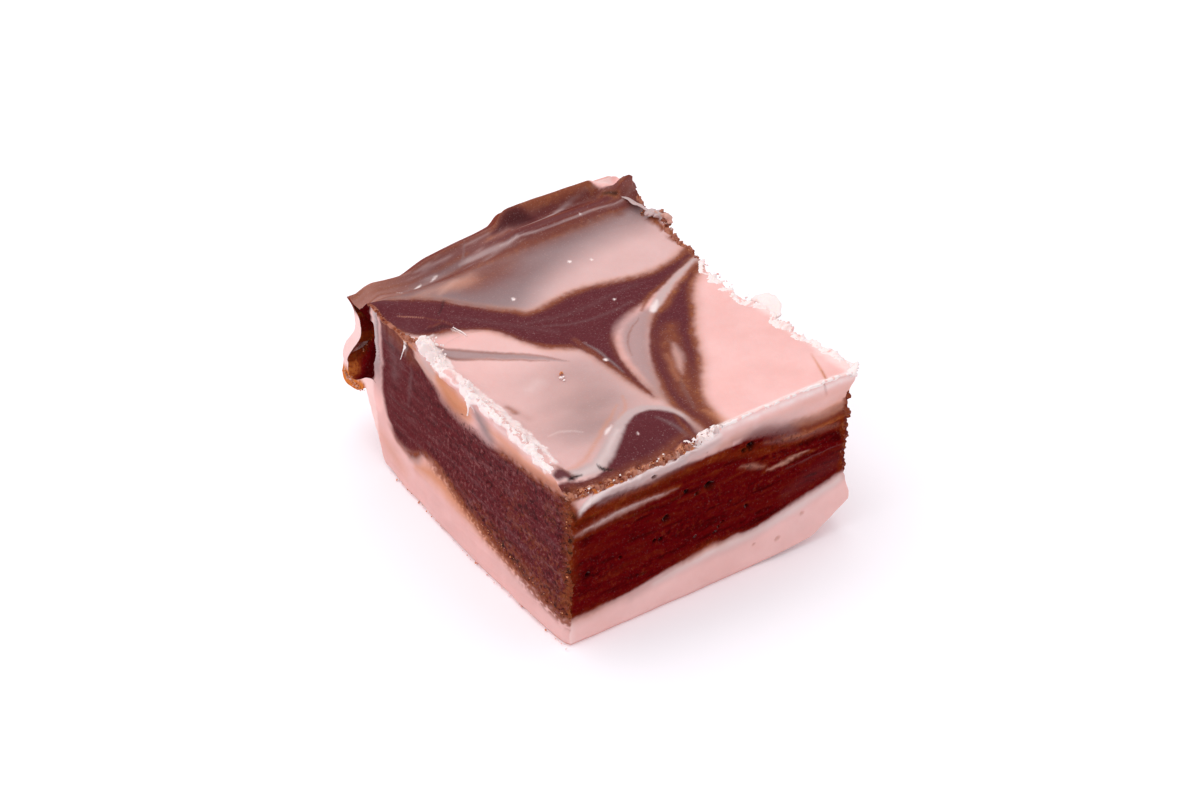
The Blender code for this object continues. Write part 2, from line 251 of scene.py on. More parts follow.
# Pits torn in the second cut face: x, z and radius
PITS = ((-0.8, 18.9, 1.0), (-8.2, 16.2, 0.75), (6.4, 22.9, 0.9), (5.1, 22.7, 0.5),
        (-10.4, 24.5, 0.4), (-4.8, 19.6, 0.45), (-3.0, 18.4, 0.5), (6.0, 12.3, 0.45),
        (-9.2, 13.1, 0.55), (-10.3, 13.2, 0.4), (-21.5, 12.2, 0.45), (1.6, 11.4, 0.35),
        (1.0, 10.8, 0.3), (0.4, 10.0, 0.35), (-3.3, 11.0, 0.35), (-16.0, 12.6, 0.35),
        (12.0, 3.7, 0.6), (16.3, 6.6, 0.45), (7.6, 4.6, 0.3))


def cut_a(y, z):
    """x of the first cut face: bowed out at the floor, burred at the top, dragged by the knife."""
    x = -HALF - 1.0 * (1 - (np.clip(np.abs(y), 0, 25) / 25) ** 2) * (1 - ease(0, 22, z))
    to_top = top_a(y) - z
    burr = np.exp(-((to_top - 0.5) / 0.9) ** 2) * ease(-23, -18, y) * (1 - ease(14, 22, y))
    x = x - burr * (0.45 + 0.5 * cloud(0, y, z, 1.2, 41, 4))
    x = x + 0.13 * noise(0, y / 9, z + 0.06 * y, 0.8, 42) + 0.2 * cloud(0, y, z, 5.0, 43)
    gritty = ease(-20, 8, -y) * ease(4, 7, z) * (1 - ease(23, 26, z))
    x = x - 0.16 * gritty * grains(0, y, z, 0.55, 44)
    x = x + 0.9 * bump(y, z, -25.3, 20, 1.2, 5) + 0.7 * bump(y, z, -25.3, 10, 1.0, 5)
    corner = 1 - ease(-25, -23.2, y)
    x = x + corner * (0.25 + 0.5 * cloud(0, y, z, 0.9, 45, 4)) * ease(4, 6, z)
    x = x + 0.55 * (1 - ease(0, 1.1, z)) + 0.35 * (1 - ease(-25, -24.1, y)) * (1 - ease(4, 6, z))
    # Two spikes of pink pulled down over the edge
    x = x - 0.55 * bump(y, z, -1.0, 29.4, 0.9, 1.6) - 0.4 * bump(y, z, 17.7, 27.3, 0.35, 1.6)
    return x


def cut_b(x, z):
    """y of the second cut face: torn in long shallow steps, with pits and a crumbly edge."""
    y = -HALF - 0.3 * bump(x, z, -8, 27, 14, 1.4)
    dark = ease(5, 7, z - 0.1 * (x + 25)) * (1 - ease(24, 26, z))
    y = y + dark * (0.20 * noise(x / 8, 0, z, 0.9, 51) + 0.07 * noise(x / 4, 0, z, 0.35, 52))
    y = y + 0.12 * cloud(x, 0, z, 4.0, 53) - 0.10 * dark * grains(x, 0, z, 0.6, 54)
    for px, pz, r in PITS:
        ragged = 0.25 * cloud(x, 0, z, 0.6, 55)
        d = np.hypot(x - px, (z - pz) * 1.3) / r + ragged
        y = y + (0.9 if pz > COCOA_FROM else 0.25) * (1 - ease(0.45, 1.1, d))
    shelf = ease(25.3, 26.2, z) * (1 - ease(-6, 1, x))
    y = y + shelf * 0.5 * cloud(x, 0, z, 1.0, 56, 4)
    corner = 1 - ease(-25, -23.4, x)
    y = y + corner * (0.3 + 0.45 * cloud(x, 0, z, 0.9, 57, 4)) * ease(4, 6, z)
    y = y + 0.5 * (1 - ease(0, 1.0, z)) + 0.35 * (1 - ease(-25, -24.1, x)) * (1 - ease(4, 6, z))
    return y


def cut_d(y, z):
    """x of the far end: a shallow waist, a broken foot and a burred top edge."""
    x = 23.7 + 1.4 * bump(0, z, 0, 6.0, 1, 3.0) + waist(y) * ease(21, 27.5, z)
    x = x + 1.7 * bump(y, z, -23.4, 27.7, 2.6, 1.2) + 1.9 * bump(y, z, -4.5, 28.2, 2.4, 1.5)
    x = x + 0.25 * cloud(0, y, z, 4.0, 61) + 0.12 * noise(0, y / 8, z, 0.8, 62)
    ragged = ease(25.6, 27.6, z)
    x = x + ragged * 0.55 * cloud(0, y, z, 1.3, 63, 4)
    return x


def lobe_share(x):
    """How far the section at x is the torn lobe's: 1 near the first cut, 0 from the middle on."""
    return 1 - ease(-19.5, -10.5, x)


def outside(x, row):
    """Outer section (y, z) at a row, from the front face round to the lip."""
    k = row - FLOOR_ROWS
    z = climbed(WALL_Z, k) * lip(x) / WALL_Z[-1]
    z = np.maximum(z, under(x) + 0.3 * k + 0.15)
    share = lobe_share(x)
    y = mix(wall_y(z), climbed(LOBE_OUT[:, 0], k), share)
    z = mix(z, climbed(LOBE_OUT[:, 1], k), share)
    y0 = wall_y(np.maximum(WALL_Z[0] * lip(x) / WALL_Z[-1], under(x) + 0.15))
    y0 = mix(y0, LOBE_OUT[0, 0], share)
    z0 = mix(np.maximum(WALL_Z[0] * lip(x) / WALL_Z[-1], under(x) + 0.15), LOBE_OUT[0, 1], share)
    flat_y = -HALF + row * 2 * HALF / FLOOR_ROWS
    last = ease(FLOOR_ROWS - 1, FLOOR_ROWS, row)
    return (np.where(k >= 0, y, mix(flat_y, y0, last)),
            np.where(k >= 0, z, mix(under(x), z0, last)))


def inside(x, row):
    """Top of the base layer and the inside of its skin."""
    k = row - FLOOR_ROWS
    lift = base_top(x, 20.0)
    z = lift + (lip(x) + 0.1 - lift) * (np.clip(k, 0, CLIMB_ROWS) / CLIMB_ROWS) ** 1.15
    y = wall_y(z) - climbed(SKIN_T, k)
    share = lobe_share(x)
    y = mix(y, climbed(LOBE_IN[:, 0], k), share)
    z = mix(z, climbed(LOBE_IN[:, 1], k), share)
    flat_y = -HALF + row * 45.0 / FLOOR_ROWS
    y0 = mix(wall_y(lift) - SKIN_T[0], LOBE_IN[0, 0], share)
    z0 = mix(lift, LOBE_IN[0, 1], share)
    flat_z = base_top(x, flat_y)
    last = ease(FLOOR_ROWS - 1, FLOOR_ROWS, row)
    return (np.where(k >= 0, y, mix(flat_y, y0, last)),
            np.where(k >= 0, z, mix(flat_z, z0, last)))


# The rows that the marbled top covers, the short step down from it, and where the lobe's top starts
COVERED = FLOOR_ROWS - 3
STEP_ROWS = 0.35
LOBE_TOP_FROM = 14.2


def fill_top(x, row):
    """Top of the chocolate: under the top layer first, then the open rim out to the lip."""
    end = run_out(x)
    covered_y = -HALF + (end + HALF) * np.clip(row, 0, COVERED) / COVERED
    covered_z = top_z(x, covered_y) - top_thickness(x, covered_y)
    y_lip = inside(x, np.full_like(x, float(ROWS)))[0] - 0.05
    # The share of the way from the run-out line to the lip that each open row has gone
    floor_share = np.interp(row, [COVERED, COVERED + STEP_ROWS, FLOOR_ROWS], [0, 0.0, 0.06])
    climb_share = (climbed(LOBE_TOP_Y, row - FLOOR_ROWS) - LOBE_TOP_FROM) \
        / (LOBE_TOP_Y[-1] - LOBE_TOP_FROM)
    share = np.where(row < FLOOR_ROWS, floor_share, np.clip(climb_share, 0.06, 1))
    y = end + (y_lip - end) * share
    z = np.maximum(top_z(x, y), inside(x, row)[1] + FEATHER * (row > FLOOR_ROWS + 10))
    step = np.clip((row - COVERED) / STEP_ROWS, 0, 1)
    step_z = mix(top_z(x, end) - top_thickness(x, end), z, step)
    return (np.where(row <= COVERED, covered_y, y), np.where(row <= COVERED, covered_z, step_z))


def settle(x_share, y, z, torn=0.0):
    """Set points between the first cut and the far end, with y moved where the second cut is."""
    xa, xd = cut_a(y, z) + torn, cut_d(y, z)
    x = xa + (xd - xa) * x_share
    front = 1 - ease(-HALF, -HALF + 3, y)
    return np.stack([x, y + (cut_b(x, z) + HALF) * front, z], -1)


def torn_depth(y, z):
    """How far the cocoa's end is sunk, in mm: all of it inside the fold and none elsewhere."""
    inside_lobe = ease(27.6, 28.8, y + 0.28 * np.minimum(z - 21, 0))
    under_lip = 1 - ease(24.6, 26.4, z - 0.35 * np.maximum(28.6 - y, 0))
    ragged = 1 + 0.16 * cloud(0, y, z, 1.8, 71, 2) - 0.12 * grains(0, y, z, 0.9, 72)
    return RECESS * inside_lobe * under_lip * ragged * (0.30 + 0.70 * ease(12, 19, z))


# Points of each layer: a runs from the first cut to the far end, row along the section and c
# from the layer's underside to its top

def base_point(a, row, c):
    x = -HALF + 2 * HALF * a
    (y0, z0), (y1, z1) = outside(x, row), inside(x, row)
    return settle(a, mix(y0, y1, c), mix(z0, z1, c))


def chocolate_point(a, row, c):
    x = -HALF + 2 * HALF * a
    (y0, z0), (y1, z1) = inside(x, row), fill_top(x, row)
    k = row - FLOOR_ROWS
    pull = 0.75 * lobe_share(x) * ease(3, 7, k) * (1 - ease(13, 16, k)) * (k > 0)
    ym = mix(0.5 * (y0 + y1), 29.5 - 0.1 * (ROWS - row), pull)
    zm = mix(0.5 * (z0 + z1), 21.5 + 0.1 * k, pull)
    y = mix(mix(y0, ym, c), mix(ym, y1, c), c)
    z = mix(mix(z0, zm, c), mix(zm, z1, c), c)
    return settle(a, y, z, torn_depth(y, z) * (1 - ease(0, 0.12, a)) * ease(0, 0.04, c))


def top_point(a, row, c):
    x = -HALF + 2 * HALF * a
    y = -HALF + (run_out(x) + HALF) * row / COVERED
    z = top_z(x, y)
    return settle(a, y, z - top_thickness(x, y) * (1 - c))


# A closed layer on a fine grid. Faces that don't show take longer steps inside their outline.

def spaced(n, step):
    """Whole steps from 0 to n, with n always the last."""
    return sorted(set(list(range(0, n, step)) + [n]))


def cell_outline(u0, u1, v0, v1, nu, nv):
    """Corners of one cell, with every fine point where it meets the edge of its face."""
    low = [(u, v0) for u in (range(u0, u1) if v0 == 0 else (u0,))]
    right = [(u1, v) for v in (range(v0, v1) if u1 == nu else (v0,))]
    high = [(u, v1) for u in (range(u1, u0, -1) if v1 == nv else (u1,))]
    left = [(u0, v) for v in (range(v1, v0, -1) if u0 == 0 else (v1,))]
    return low + right + high + left


# Each face: the end of the grid it lies on, then the two directions that run across it
FACES = {"a": ("i0", (1, 2)), "d": ("i1", (1, 2)), "b": ("j0", (0, 2)), "c": ("j1", (0, 2)),
         "low": ("k0", (0, 1)), "high": ("k1", (0, 1))}
REVERSED = ("a", "c", "low")


def layer(name, size, rows, place, steps, tiles):
    """One closed layer of the fudge.

    size: cells along x, along the section and in height. rows: from a share of the section to
    its row. place: the rule for its points. steps: cuts per face. tiles: its place in the UV.
    """
    grid = tuple(cells + 1 for cells in size)
    keys, uvs, sizes = [], [], []
    for face, (side, (p, q)) in FACES.items():
        fixed = "ijk".index(side[0])
        su, sv = steps[face]
        us = su if isinstance(su, list) else spaced(size[p], su)
        vs = sv if isinstance(sv, list) else spaced(size[q], sv)
        u_lo, v_lo, u_hi, v_hi = tiles[face]
        for u0, u1 in zip(us[:-1], us[1:]):
            for v0, v1 in zip(vs[:-1], vs[1:]):
                loop = cell_outline(u0, u1, v0, v1, size[p], size[q])
                if face in REVERSED:
                    loop.reverse()
                sizes.append(len(loop))
                for u, v in loop:
                    key = [0, 0, 0]
                    key[fixed] = size[fixed] if side[1] == "1" else 0
                    key[p], key[q] = u, v
                    keys.append((key[0] * grid[1] + key[1]) * grid[2] + key[2])
                    uvs.append((u_lo + (u_hi - u_lo) * u / size[p],
                                v_lo + (v_hi - v_lo) * v / size[q]))
    unique, index = np.unique(np.array(keys, np.int64), return_inverse=True)
    i, j, k = np.unravel_index(unique, grid)
    row = rows(j / size[1])
    points = place(i / size[0], row, k / size[2])
    mesh = bpy.data.meshes.new(name)
    starts = np.concatenate(([0], np.cumsum(sizes)[:-1]))
    mesh.vertices.add(len(points))
    mesh.vertices.foreach_set("co", (points * MM).astype(np.float32).ravel())
    mesh.loops.add(len(index))
    mesh.loops.foreach_set("vertex_index", index.astype(np.int32))
    mesh.polygons.add(len(sizes))
    mesh.polygons.foreach_set("loop_start", starts.astype(np.int32))
    mesh.update(calc_edges=True)
    uv = mesh.uv_layers.new(name="OFBake")
    uv.data.foreach_set("uv", np.array(uvs, np.float32).ravel())
    mesh.validate()
    mesh.shade_smooth()
    mesh.set_sharp_from_angle(angle=math.radians(58))
    piece = bpy.data.objects.new(name, mesh)
    bpy.context.scene.collection.objects.link(piece)
    where = {"a": i == 0, "b": j == 0, "d": i == size[0], "c": j == size[1], "low": k == 0,
             "high": k == size[2]}
    return piece, points, where, row


# The swirl is laid on in strokes. At every point each layer has a weight, pink has what is left,
# and laying a paint fades the others, so the colours run into each other evenly.

# film is a thin grey veil of cocoa, tan a caramel stain, milk white, rust thin warm cocoa, and
# deep a near-black painted shade, put in pits, cracks, creases and between crumbs. cut is 0 on
# the skin and 1 on a torn face, grain how grainy it is.
LAYERS = ("film", "tan", "milk", "cocoa", "rust", "deep")
PLAIN = ("cut", "grain")
MASKS = LAYERS + PLAIN
PAINTS = {"pink": {}, "grey": {"film": 1.0}, "rose": {"film": 0.40, "tan": 0.25},
          "tan": {"tan": 1.0}, "white": {"milk": 1.0}, "cocoa": {"cocoa": 1.0},
          # the paint that lays deep alone is painted shade
          "rust": {"rust": 1.0}, "painted_shade": {"deep": 1.0},
          "pale": {"film": 0.58, "milk": 0.28}, "cream": {"tan": 0.48, "milk": 0.14, "film": 0.26},
          "toffee": {"rust": 0.60, "tan": 0.30, "milk": 0.03},
          "taupe": {"film": 0.62, "tan": 0.16, "rust": 0.07},
          "brown": {"cocoa": 0.66, "rust": 0.12, "film": 0.12, "tan": 0.06}}


def rounded(points, closed):
    """Corner cutting, twice, so that a few points give a flowing line."""
    p = np.array(points, float)
    for _ in range(2):
        nxt = np.roll(p, -1, 0) if closed else p[1:]
        cur = p if closed else p[:-1]
        cut = np.stack([0.75 * cur + 0.25 * nxt, 0.25 * cur + 0.75 * nxt], 1)
        cut = cut.reshape(-1, p.shape[1])
        p = cut if closed else np.concatenate([p[:1], cut, p[-1:]])
    return p


def region(points, u, v):
    """Signed distance in mm to a closed outline, above 0 inside it."""
    p = rounded(points, True)
    best = np.full(u.shape, 1e9)
    inside_it = np.zeros(u.shape, bool)
    for (x0, y0), (x1, y1) in zip(p, np.roll(p, -1, 0)):
        dx, dy = x1 - x0, y1 - y0
        t = np.clip(((u - x0) * dx + (v - y0) * dy) / (dx * dx + dy * dy + 1e-12), 0, 1)
        best = np.minimum(best, (u - x0 - t * dx) ** 2 + (v - y0 - t * dy) ** 2)
        crosses = (y0 > v) != (y1 > v)
        at = x0 + (v - y0) * dx / (dy if abs(dy) > 1e-9 else 1e-9)
        inside_it ^= crosses & (u < at)
    return np.where(inside_it, 1.0, -1.0) * np.sqrt(best)


def streak(points, u, v):
    """Distance into a line of (u, v, half width) points."""
    p = rounded(points, False)
    best = np.full(u.shape, -1e9)
    for (x0, y0, w0), (x1, y1, w1) in zip(p[:-1], p[1:]):
        dx, dy = x1 - x0, y1 - y0
        t = np.clip(((u - x0) * dx + (v - y0) * dy) / (dx * dx + dy * dy + 1e-12), 0, 1)
        d = np.hypot(u - x0 - t * dx, v - y0 - t * dy)
        best = np.maximum(best, w0 + (w1 - w0) * t - d)
    return best


def within(d, soft):
    """A distance into a shape as a share, over a soft edge of the given width in mm."""
    return ease(-soft / 2, soft / 2, d)


def lay(state, paint, share):
    """Lay a paint over what is there, by a share from 0 to 1 at every point."""
    share = np.clip(share, 0, 1)
    for m in LAYERS:
        state[m] = state[m] + (PAINTS[paint].get(m, 0.0) - state[m]) * share


def brush(state, u, v, strokes):
    """Lay each stroke of a list in turn."""
    for paint, strength, soft, points in strokes:
        lay(state, paint, strength * within(streak(points, u, v), soft))


def pour(state, d, soft, warm, cool=0.0):
    """Cocoa up to d = 0: warm where it thins to nothing, cool where pink runs over it."""
    lay(state, "grey", cool * ease(-2.6, 0.4, d))
    lay(state, "tan", warm * 0.36 * np.exp(-((d + 0.7) / 0.6) ** 2))
    lay(state, "rust", warm * 0.45 * ease(-1.0, -0.1, d))
    lay(state, "cocoa", ease(-soft / 2, soft / 2, d))
    lay(state, "rust", warm * 0.95 * np.exp(-((d - 0.05) / 0.60) ** 2))


def fresh(q):
    """Plain pink at every point: no paint laid yet."""
    return {m: np.zeros(q.shape) for m in MASKS}


MAIN_SWIRL = [(-25.5, 31), (-23, 30.2), (-20, 28.8), (-17.6, 27), (-15.4, 25), (-13.6, 22.5),
              (-11.8, 20.3), (-9.6, 18), (-7.4, 16.3), (-6.6, 14.6), (-4, 14.2), (0, 15.1),
              (4, 15.5), (8, 15.0), (12, 14.0), (16, 13.6), (20, 14.3), (23, 15.6), (26.5, 18),
              (26.5, 14.8), (23.5, 13.8), (20, 12.0), (17, 10.8), (14, 9.3), (11.5, 8.2),
              (8.5, 7.1), (5.5, 6.1), (3, 4.6), (1.2, 2.6), (0, 0), (-0.9, -2.4), (-1.6, -6),
              (-2.1, -9.5), (-2.3, -12.5), (-2.5, -14), (-2.8, -12.5), (-3.1, -9), (-3.4, -5),
              (-3.9, -1), (-4.3, 2.6), (-6, 4.0), (-8.4, 5.4), (-9.8, 7.2), (-10.8, 9.4),
              (-11.8, 11.8), (-13.2, 13.8), (-15.2, 15.1), (-17, 15.8), (-19, 16.8), (-21.8, 17.4),
              (-25.5, 18)]
RIGHT_SWIRL = [(26.5, 14.0), (23.5, 12.3), (20, 10.2), (17.2, 8.7), (14.8, 7.0), (12.6, 5.2),
               (10.4, 4.4), (8.6, 3.2), (6.8, 1.2), (5.2, -1.2), (3.6, -3.8), (2.2, -6.4),
               (1.0, -9.0), (0.1, -11.8), (-0.9, -14.6), (-1.6, -17), (-1.1, -20), (-1.0, -25.6),
               (0.8, -25.6), (1.6, -22), (2.2, -18.6), (3.6, -15.8), (5.6, -13), (7.8, -10.2),
               (9.4, -7.2), (10.9, -4.6), (12.2, -2), (14.0, 0.4), (15.6, 2.8), (17.2, 5.4),
               (19.2, 8.0), (22.5, 10.8), (26.5, 13.2)]
DOME = [(-26, -22.9), (-22, -23.0), (-19.4, -23.2), (-16.6, -22.3), (-14, -20.6), (-11.9, -18.8),
        (-10, -17.0), (-8.0, -16.0), (-6, -15.5), (-4.2, -15.9), (-2.9, -17.2), (-2.0, -19.4),
        (-1.7, -22), (-1.6, -26), (-26, -26)]
GREY_SIDE = [(9.5, 6.5), (4.5, 4.6), (1.4, 1.2), (-0.2, -3.5), (-1.6, -10), (-2.2, -15),
             (-1.4, -18), (0.2, -11), (2.8, -5), (6, 0.6), (9, 3.8), (10.8, 5)]
WARM_CORE = [(9.6, 1.4), (7.4, -0.8), (5.4, -3.8), (4.0, -7), (2.6, -10.4), (1.0, -14),
             (0.2, -19), (-0.2, -25), (1.6, -25), (2.4, -19), (4.0, -14), (5.8, -11),
             (7.2, -7.8), (8.4, -4.8), (9.9, -1.6), (11.4, 0.8)]
grey_from = line([(-14, 10), (-5, 15.5), (0, 19.2), (5, 21.8), (12, 24.6), (20, 26), (26, 26.2)])
rim_from = line([(-25, 30.4), (-20, 30.8), (-14, 30.9), (-8, 30.6), (-3, 30.0), (2, 29.6),
                 (8, 29.6), (16, 29.8), (25, 29.8)])

# Marks on the top, laid in this order: paint, strength, soft edge, then (x, y, half width) along the stroke
UNDER_COCOA = (
    ("rust", 0.40, 4.5, [(-9.5, 25.4, 1.2), (-5, 26.8, 1.4), (0, 28.4, 0.8)]),
    ("brown", 0.35, 2.4, [(-19, 29.0, 0.4), (-14, 29.6, 0.8), (-8, 29.4, 0.6)]),
    ("rust", 0.40, 3.6, [(-17, 28.0, 0.6), (-12, 27.8, 1.4), (-7, 28.4, 1.4)]),
    ("cream", 0.62, 4.6, [(-16.4, 28.0, 0.1), (-13.0, 27.8, 0.6), (-10.4, 27.4, 1.3),
                          (-8.8, 27.8, 0.7), (-7.4, 28.6, 0.1)]),
    ("tan", 0.28, 3.0, [(-13.0, 27.0, 0.4), (-10.4, 26.6, 1.0), (-8.4, 26.8, 0.8)]),
    ("cream", 0.50, 1.8, [(-14.4, 26.4, 0.2), (-12.2, 27.4, 0.5), (-10.2, 28.4, 0.2)]),
    ("grey", 0.35, 1.6, [(-16.5, 26.8, 0.3), (-14.4, 25.4, 0.4), (-12, 22.6, 0.4)]),
    ("grey", 0.75, 0.9, [(-23.6, 12.8, 1.6), (-20, 10.2, 1.3), (-16.6, 8.0, 0.9),
                         (-13.4, 5.6, 0.7), (-10.4, 3.4, 0.4), (-8, 1.0, 0.0)]),
    ("rust", 0.55, 0.55, [(-23.6, 14.6, 0.3), (-20, 11.7, 0.3), (-16.8, 9.0, 0.25),
                          (-14, 6.9, 0.25), (-11.4, 5.0, 0.25), (-9.6, 3.2, 0.2), (-7.6, 0.6, 0.0)]),
    ("rust", 0.60, 0.55, [(-22.4, 10.6, 0.35), (-20, 8.7, 0.3), (-17.4, 7.1, 0.25),
                          (-15, 5.6, 0.25), (-12.4, 3.9, 0.2), (-10, 2.3, 0.05)]),
    ("white", 0.25, 3.6, [(-16.6, -2.6, 0.2), (-14.6, -1.6, 0.4)]),
    ("white", 0.30, 0.5, [(-20.4, -13.6, 0.05), (-18, -13.4, 0.15), (-15.8, -15.4, 0.05)]),
    ("rust", 0.70, 1.2, [(-21.6, -4.6, 0.3), (-21.3, -6.2, 0.5)]),
    ("rust", 0.25, 2.2, [(-21.5, -4.0, 0.2), (-20.4, -8.4, 0.4)]),
)
OVER_COCOA = (
    # Main strand: pale drag lines, the brown tail with its light thread
    ("grey", 0.20, 0.9, [(-6, 10.4, 0.15), (-2.4, 8.7, 0.2), (3, 8.1, 0.25), (9, 8.7, 0.1)]),
    ("grey", 0.12, 1.6, [(-8, 12.6, 0.2), (-3, 11.2, 0.3), (4, 11.4, 0.3), (12, 12.2, 0.2)]),
    ("grey", 0.10, 1.6, [(-16, 19.5, 0.2), (-10, 13.5, 0.4), (-5, 8, 0.3)]),
    ("rust", 0.50, 1.0, [(-3.9, 5, 0.4), (-3.4, 0, 0.4), (-3.1, -6, 0.35), (-2.8, -12, 0.2)]),
    ("grey", 0.75, 0.5, [(-3.1, 3.6, 0.1), (-2.6, 0, 0.2), (-2.5, -3, 0.2), (-2.7, -6, 0.02)]),
    ("rust", 0.45, 0.8, [(-9.5, 7.5, 0.2), (-7.4, 5.2, 0.3), (-5.2, 4.2, 0.2)]),
    # Right strand: warm see-through middle round a pink lens
    ("rose", 0.85, 1.3, [(7.7, -3.6, 0.1), (7.0, -5.6, 0.6), (6.0, -7.6, 0.7), (4.9, -9.6, 0.3),
                         (4.2, -11, 0.0)]),
    ("grey", 0.30, 1.2, [(7.6, -2.6, 0.1), (7.6, -5.4, 0.3), (6.6, -8.4, 0.1)]),
    ("tan", 0.35, 1.4, [(5.2, -5.6, 0.2), (4.2, -8.6, 0.35), (2.8, -11.8, 0.2)]),
    ("grey", 0.25, 1.0, [(3.4, -11.6, 0.1), (1.8, -15, 0.3), (0.6, -19, 0.1)]),
    # The light line between the strands
    ("pale", 0.90, 0.9, [(24.4, 13.6, 0.3), (20, 11.4, 0.45), (16.6, 9.8, 0.5), (14, 8.2, 0.75),
                         (11.8, 6.4, 0.8), (10, 4.9, 0.4)]),
    ("rust", 0.80, 0.7, [(16, 10.6, 0.1), (13.2, 9.4, 0.3), (10.4, 7.6, 0.4), (8.6, 6.0, 0.2)]),
    ("rust", 0.85, 0.7, [(15.4, 7.6, 0.1), (13.2, 5.8, 0.4), (11, 4.6, 0.3)]),
    ("white", 0.75, 0.7, [(12.2, 7.0, 0.1), (11, 5.9, 0.55), (10.2, 5.1, 0.45)]),
    ("rust", 0.55, 0.45, [(7.2, 4.6, 0.05), (4.4, 2.9, 0.14), (2.2, 0.2, 0.1), (0.9, -3, 0.02)]),
    # The grey-white band that wraps the dome, with a painted highlight on it, and its warm outline
    ("pale", 0.95, 0.8, [(-24.6, -21.9, 0.5), (-21, -21.8, 0.75), (-18, -21.9, 0.9),
                         (-15.6, -20.9, 1.0), (-13.4, -19.2, 1.0), (-11.2, -17.3, 0.9),
                         (-9.2, -15.8, 0.8), (-7, -15.0, 0.7), (-4.8, -15.1, 0.65),
                         (-3, -16.6, 0.55), (-2.0, -18.6, 0.4), (-1.6, -20.6, 0.2),
                         (-1.7, -22.5, 0.02)]),
    ("taupe", 0.75, 0.9, [(-1.6, -20, 0.2), (-1.6, -22.5, 0.5), (-1.8, -25, 0.4)]),
    ("tan", 0.45, 2.0, [(1.5, -20.5, 0.2), (2.1, -23, 0.7), (2.4, -25.2, 0.8)]),
    ("white", 0.30, 0.9, [(-24, -22.2, 0.4), (-18.6, -22.0, 0.5), (-15.4, -20.8, 0.35),
                          (-11.6, -17.6, 0.3)]),
    ("white", 0.75, 0.4, [(-13.6, -17.6, 0.1), (-12.8, -17.0, 0.3), (-11.6, -16.2, 0.05)]),
    ("grey", 0.45, 1.0, [(-5.2, -18.0, 0.1), (-4.0, -20.4, 0.3), (-3.6, -23, 0.2)]),
    ("rust", 0.70, 0.9, [(-2.8, -19.0, 0.1), (-3.0, -21.4, 0.35), (-2.8, -24.5, 0.4)]),
    ("tan", 0.50, 0.9, [(-22, -20.9, 0.1), (-19.4, -20.7, 0.2), (-16.4, -18.9, 0.25),
                        (-13.4, -16.6, 0.25), (-10.6, -14.4, 0.25), (-8, -12.4, 0.05)]),
    ("tan", 0.45, 0.8, [(-9.8, -15.4, 0.1), (-7.4, -14.0, 0.2), (-6.0, -10.8, 0.1)]),
    # The dark strip behind the front corner, with its cracks in painted shade
    ("cocoa", 0.95, 0.7, [(-24.4, -22.0, 0.6), (-23.2, -21.4, 0.9), (-22.2, -22.4, 0.4)]),
    ("rust", 0.65, 0.8, [(-24.6, -20.3, 0.1), (-23.0, -20.6, 0.25), (-21.8, -22.0, 0.1)]),
    ("painted_shade", 1.0, 0.35, [(-23.2, -22.8, 0.1), (-22.0, -22.2, 0.3), (-20.6, -22.2, 0.1)]),
    ("painted_shade", 1.0, 0.35, [(-17.6, -21.6, 0.08), (-17.3, -22.5, 0.28), (-15.9, -23.4, 0.05)]),
    ("rust", 0.62, 1.8, [(-24, -24.2, 0.7), (-16, -24.2, 0.6), (-8, -23.8, 0.6), (-4, -23, 0.5)]),
    # The torn flake at the left end of the main strand, with streaks of painted shade by it
    ("painted_shade", 0.38, 0.8, [(-21.4, 18.7, 0.1), (-19.9, 18.2, 0.5), (-18.7, 18.5, 0.6),
                           (-17.5, 17.4, 0.2)]),
    ("painted_shade", 0.55, 0.5, [(-17.4, 21.4, 0.05), (-16.4, 22.4, 0.15), (-14.9, 24.3, 0.2)]),
    ("rust", 0.60, 0.6, [(-22.6, 17.6, 0.1), (-20.6, 17.3, 0.25), (-17.4, 16.6, 0.2)]),
    ("tan", 0.60, 0.35, [(-22.7, 24.2, 0.08), (-21, 23.3, 0.14), (-19.6, 21.9, 0.04)]),
    ("rust", 0.55, 0.35, [(-19.7, 22.2, 0.02), (-18.9, 20.4, 0.12), (-17.6, 19.8, 0.10),
                          (-17.2, 17.6, 0.08)]),
    ("rust", 0.40, 0.5, [(-20.4, 19.4, 0.1), (-19.2, 19.0, 0.3), (-18.2, 19.4, 0.1)]),
    ("white", 0.85, 0.35, [(-17.7, 16.6, 0.15), (-17.2, 15.3, 0.14), (-17.0, 13.8, 0.02)]),
    ("white", 0.90, 0.4, [(-23.6, 15.8, 0.5), (-21.8, 16.8, 0.3), (-20.4, 17.1, 0.05)]),
)
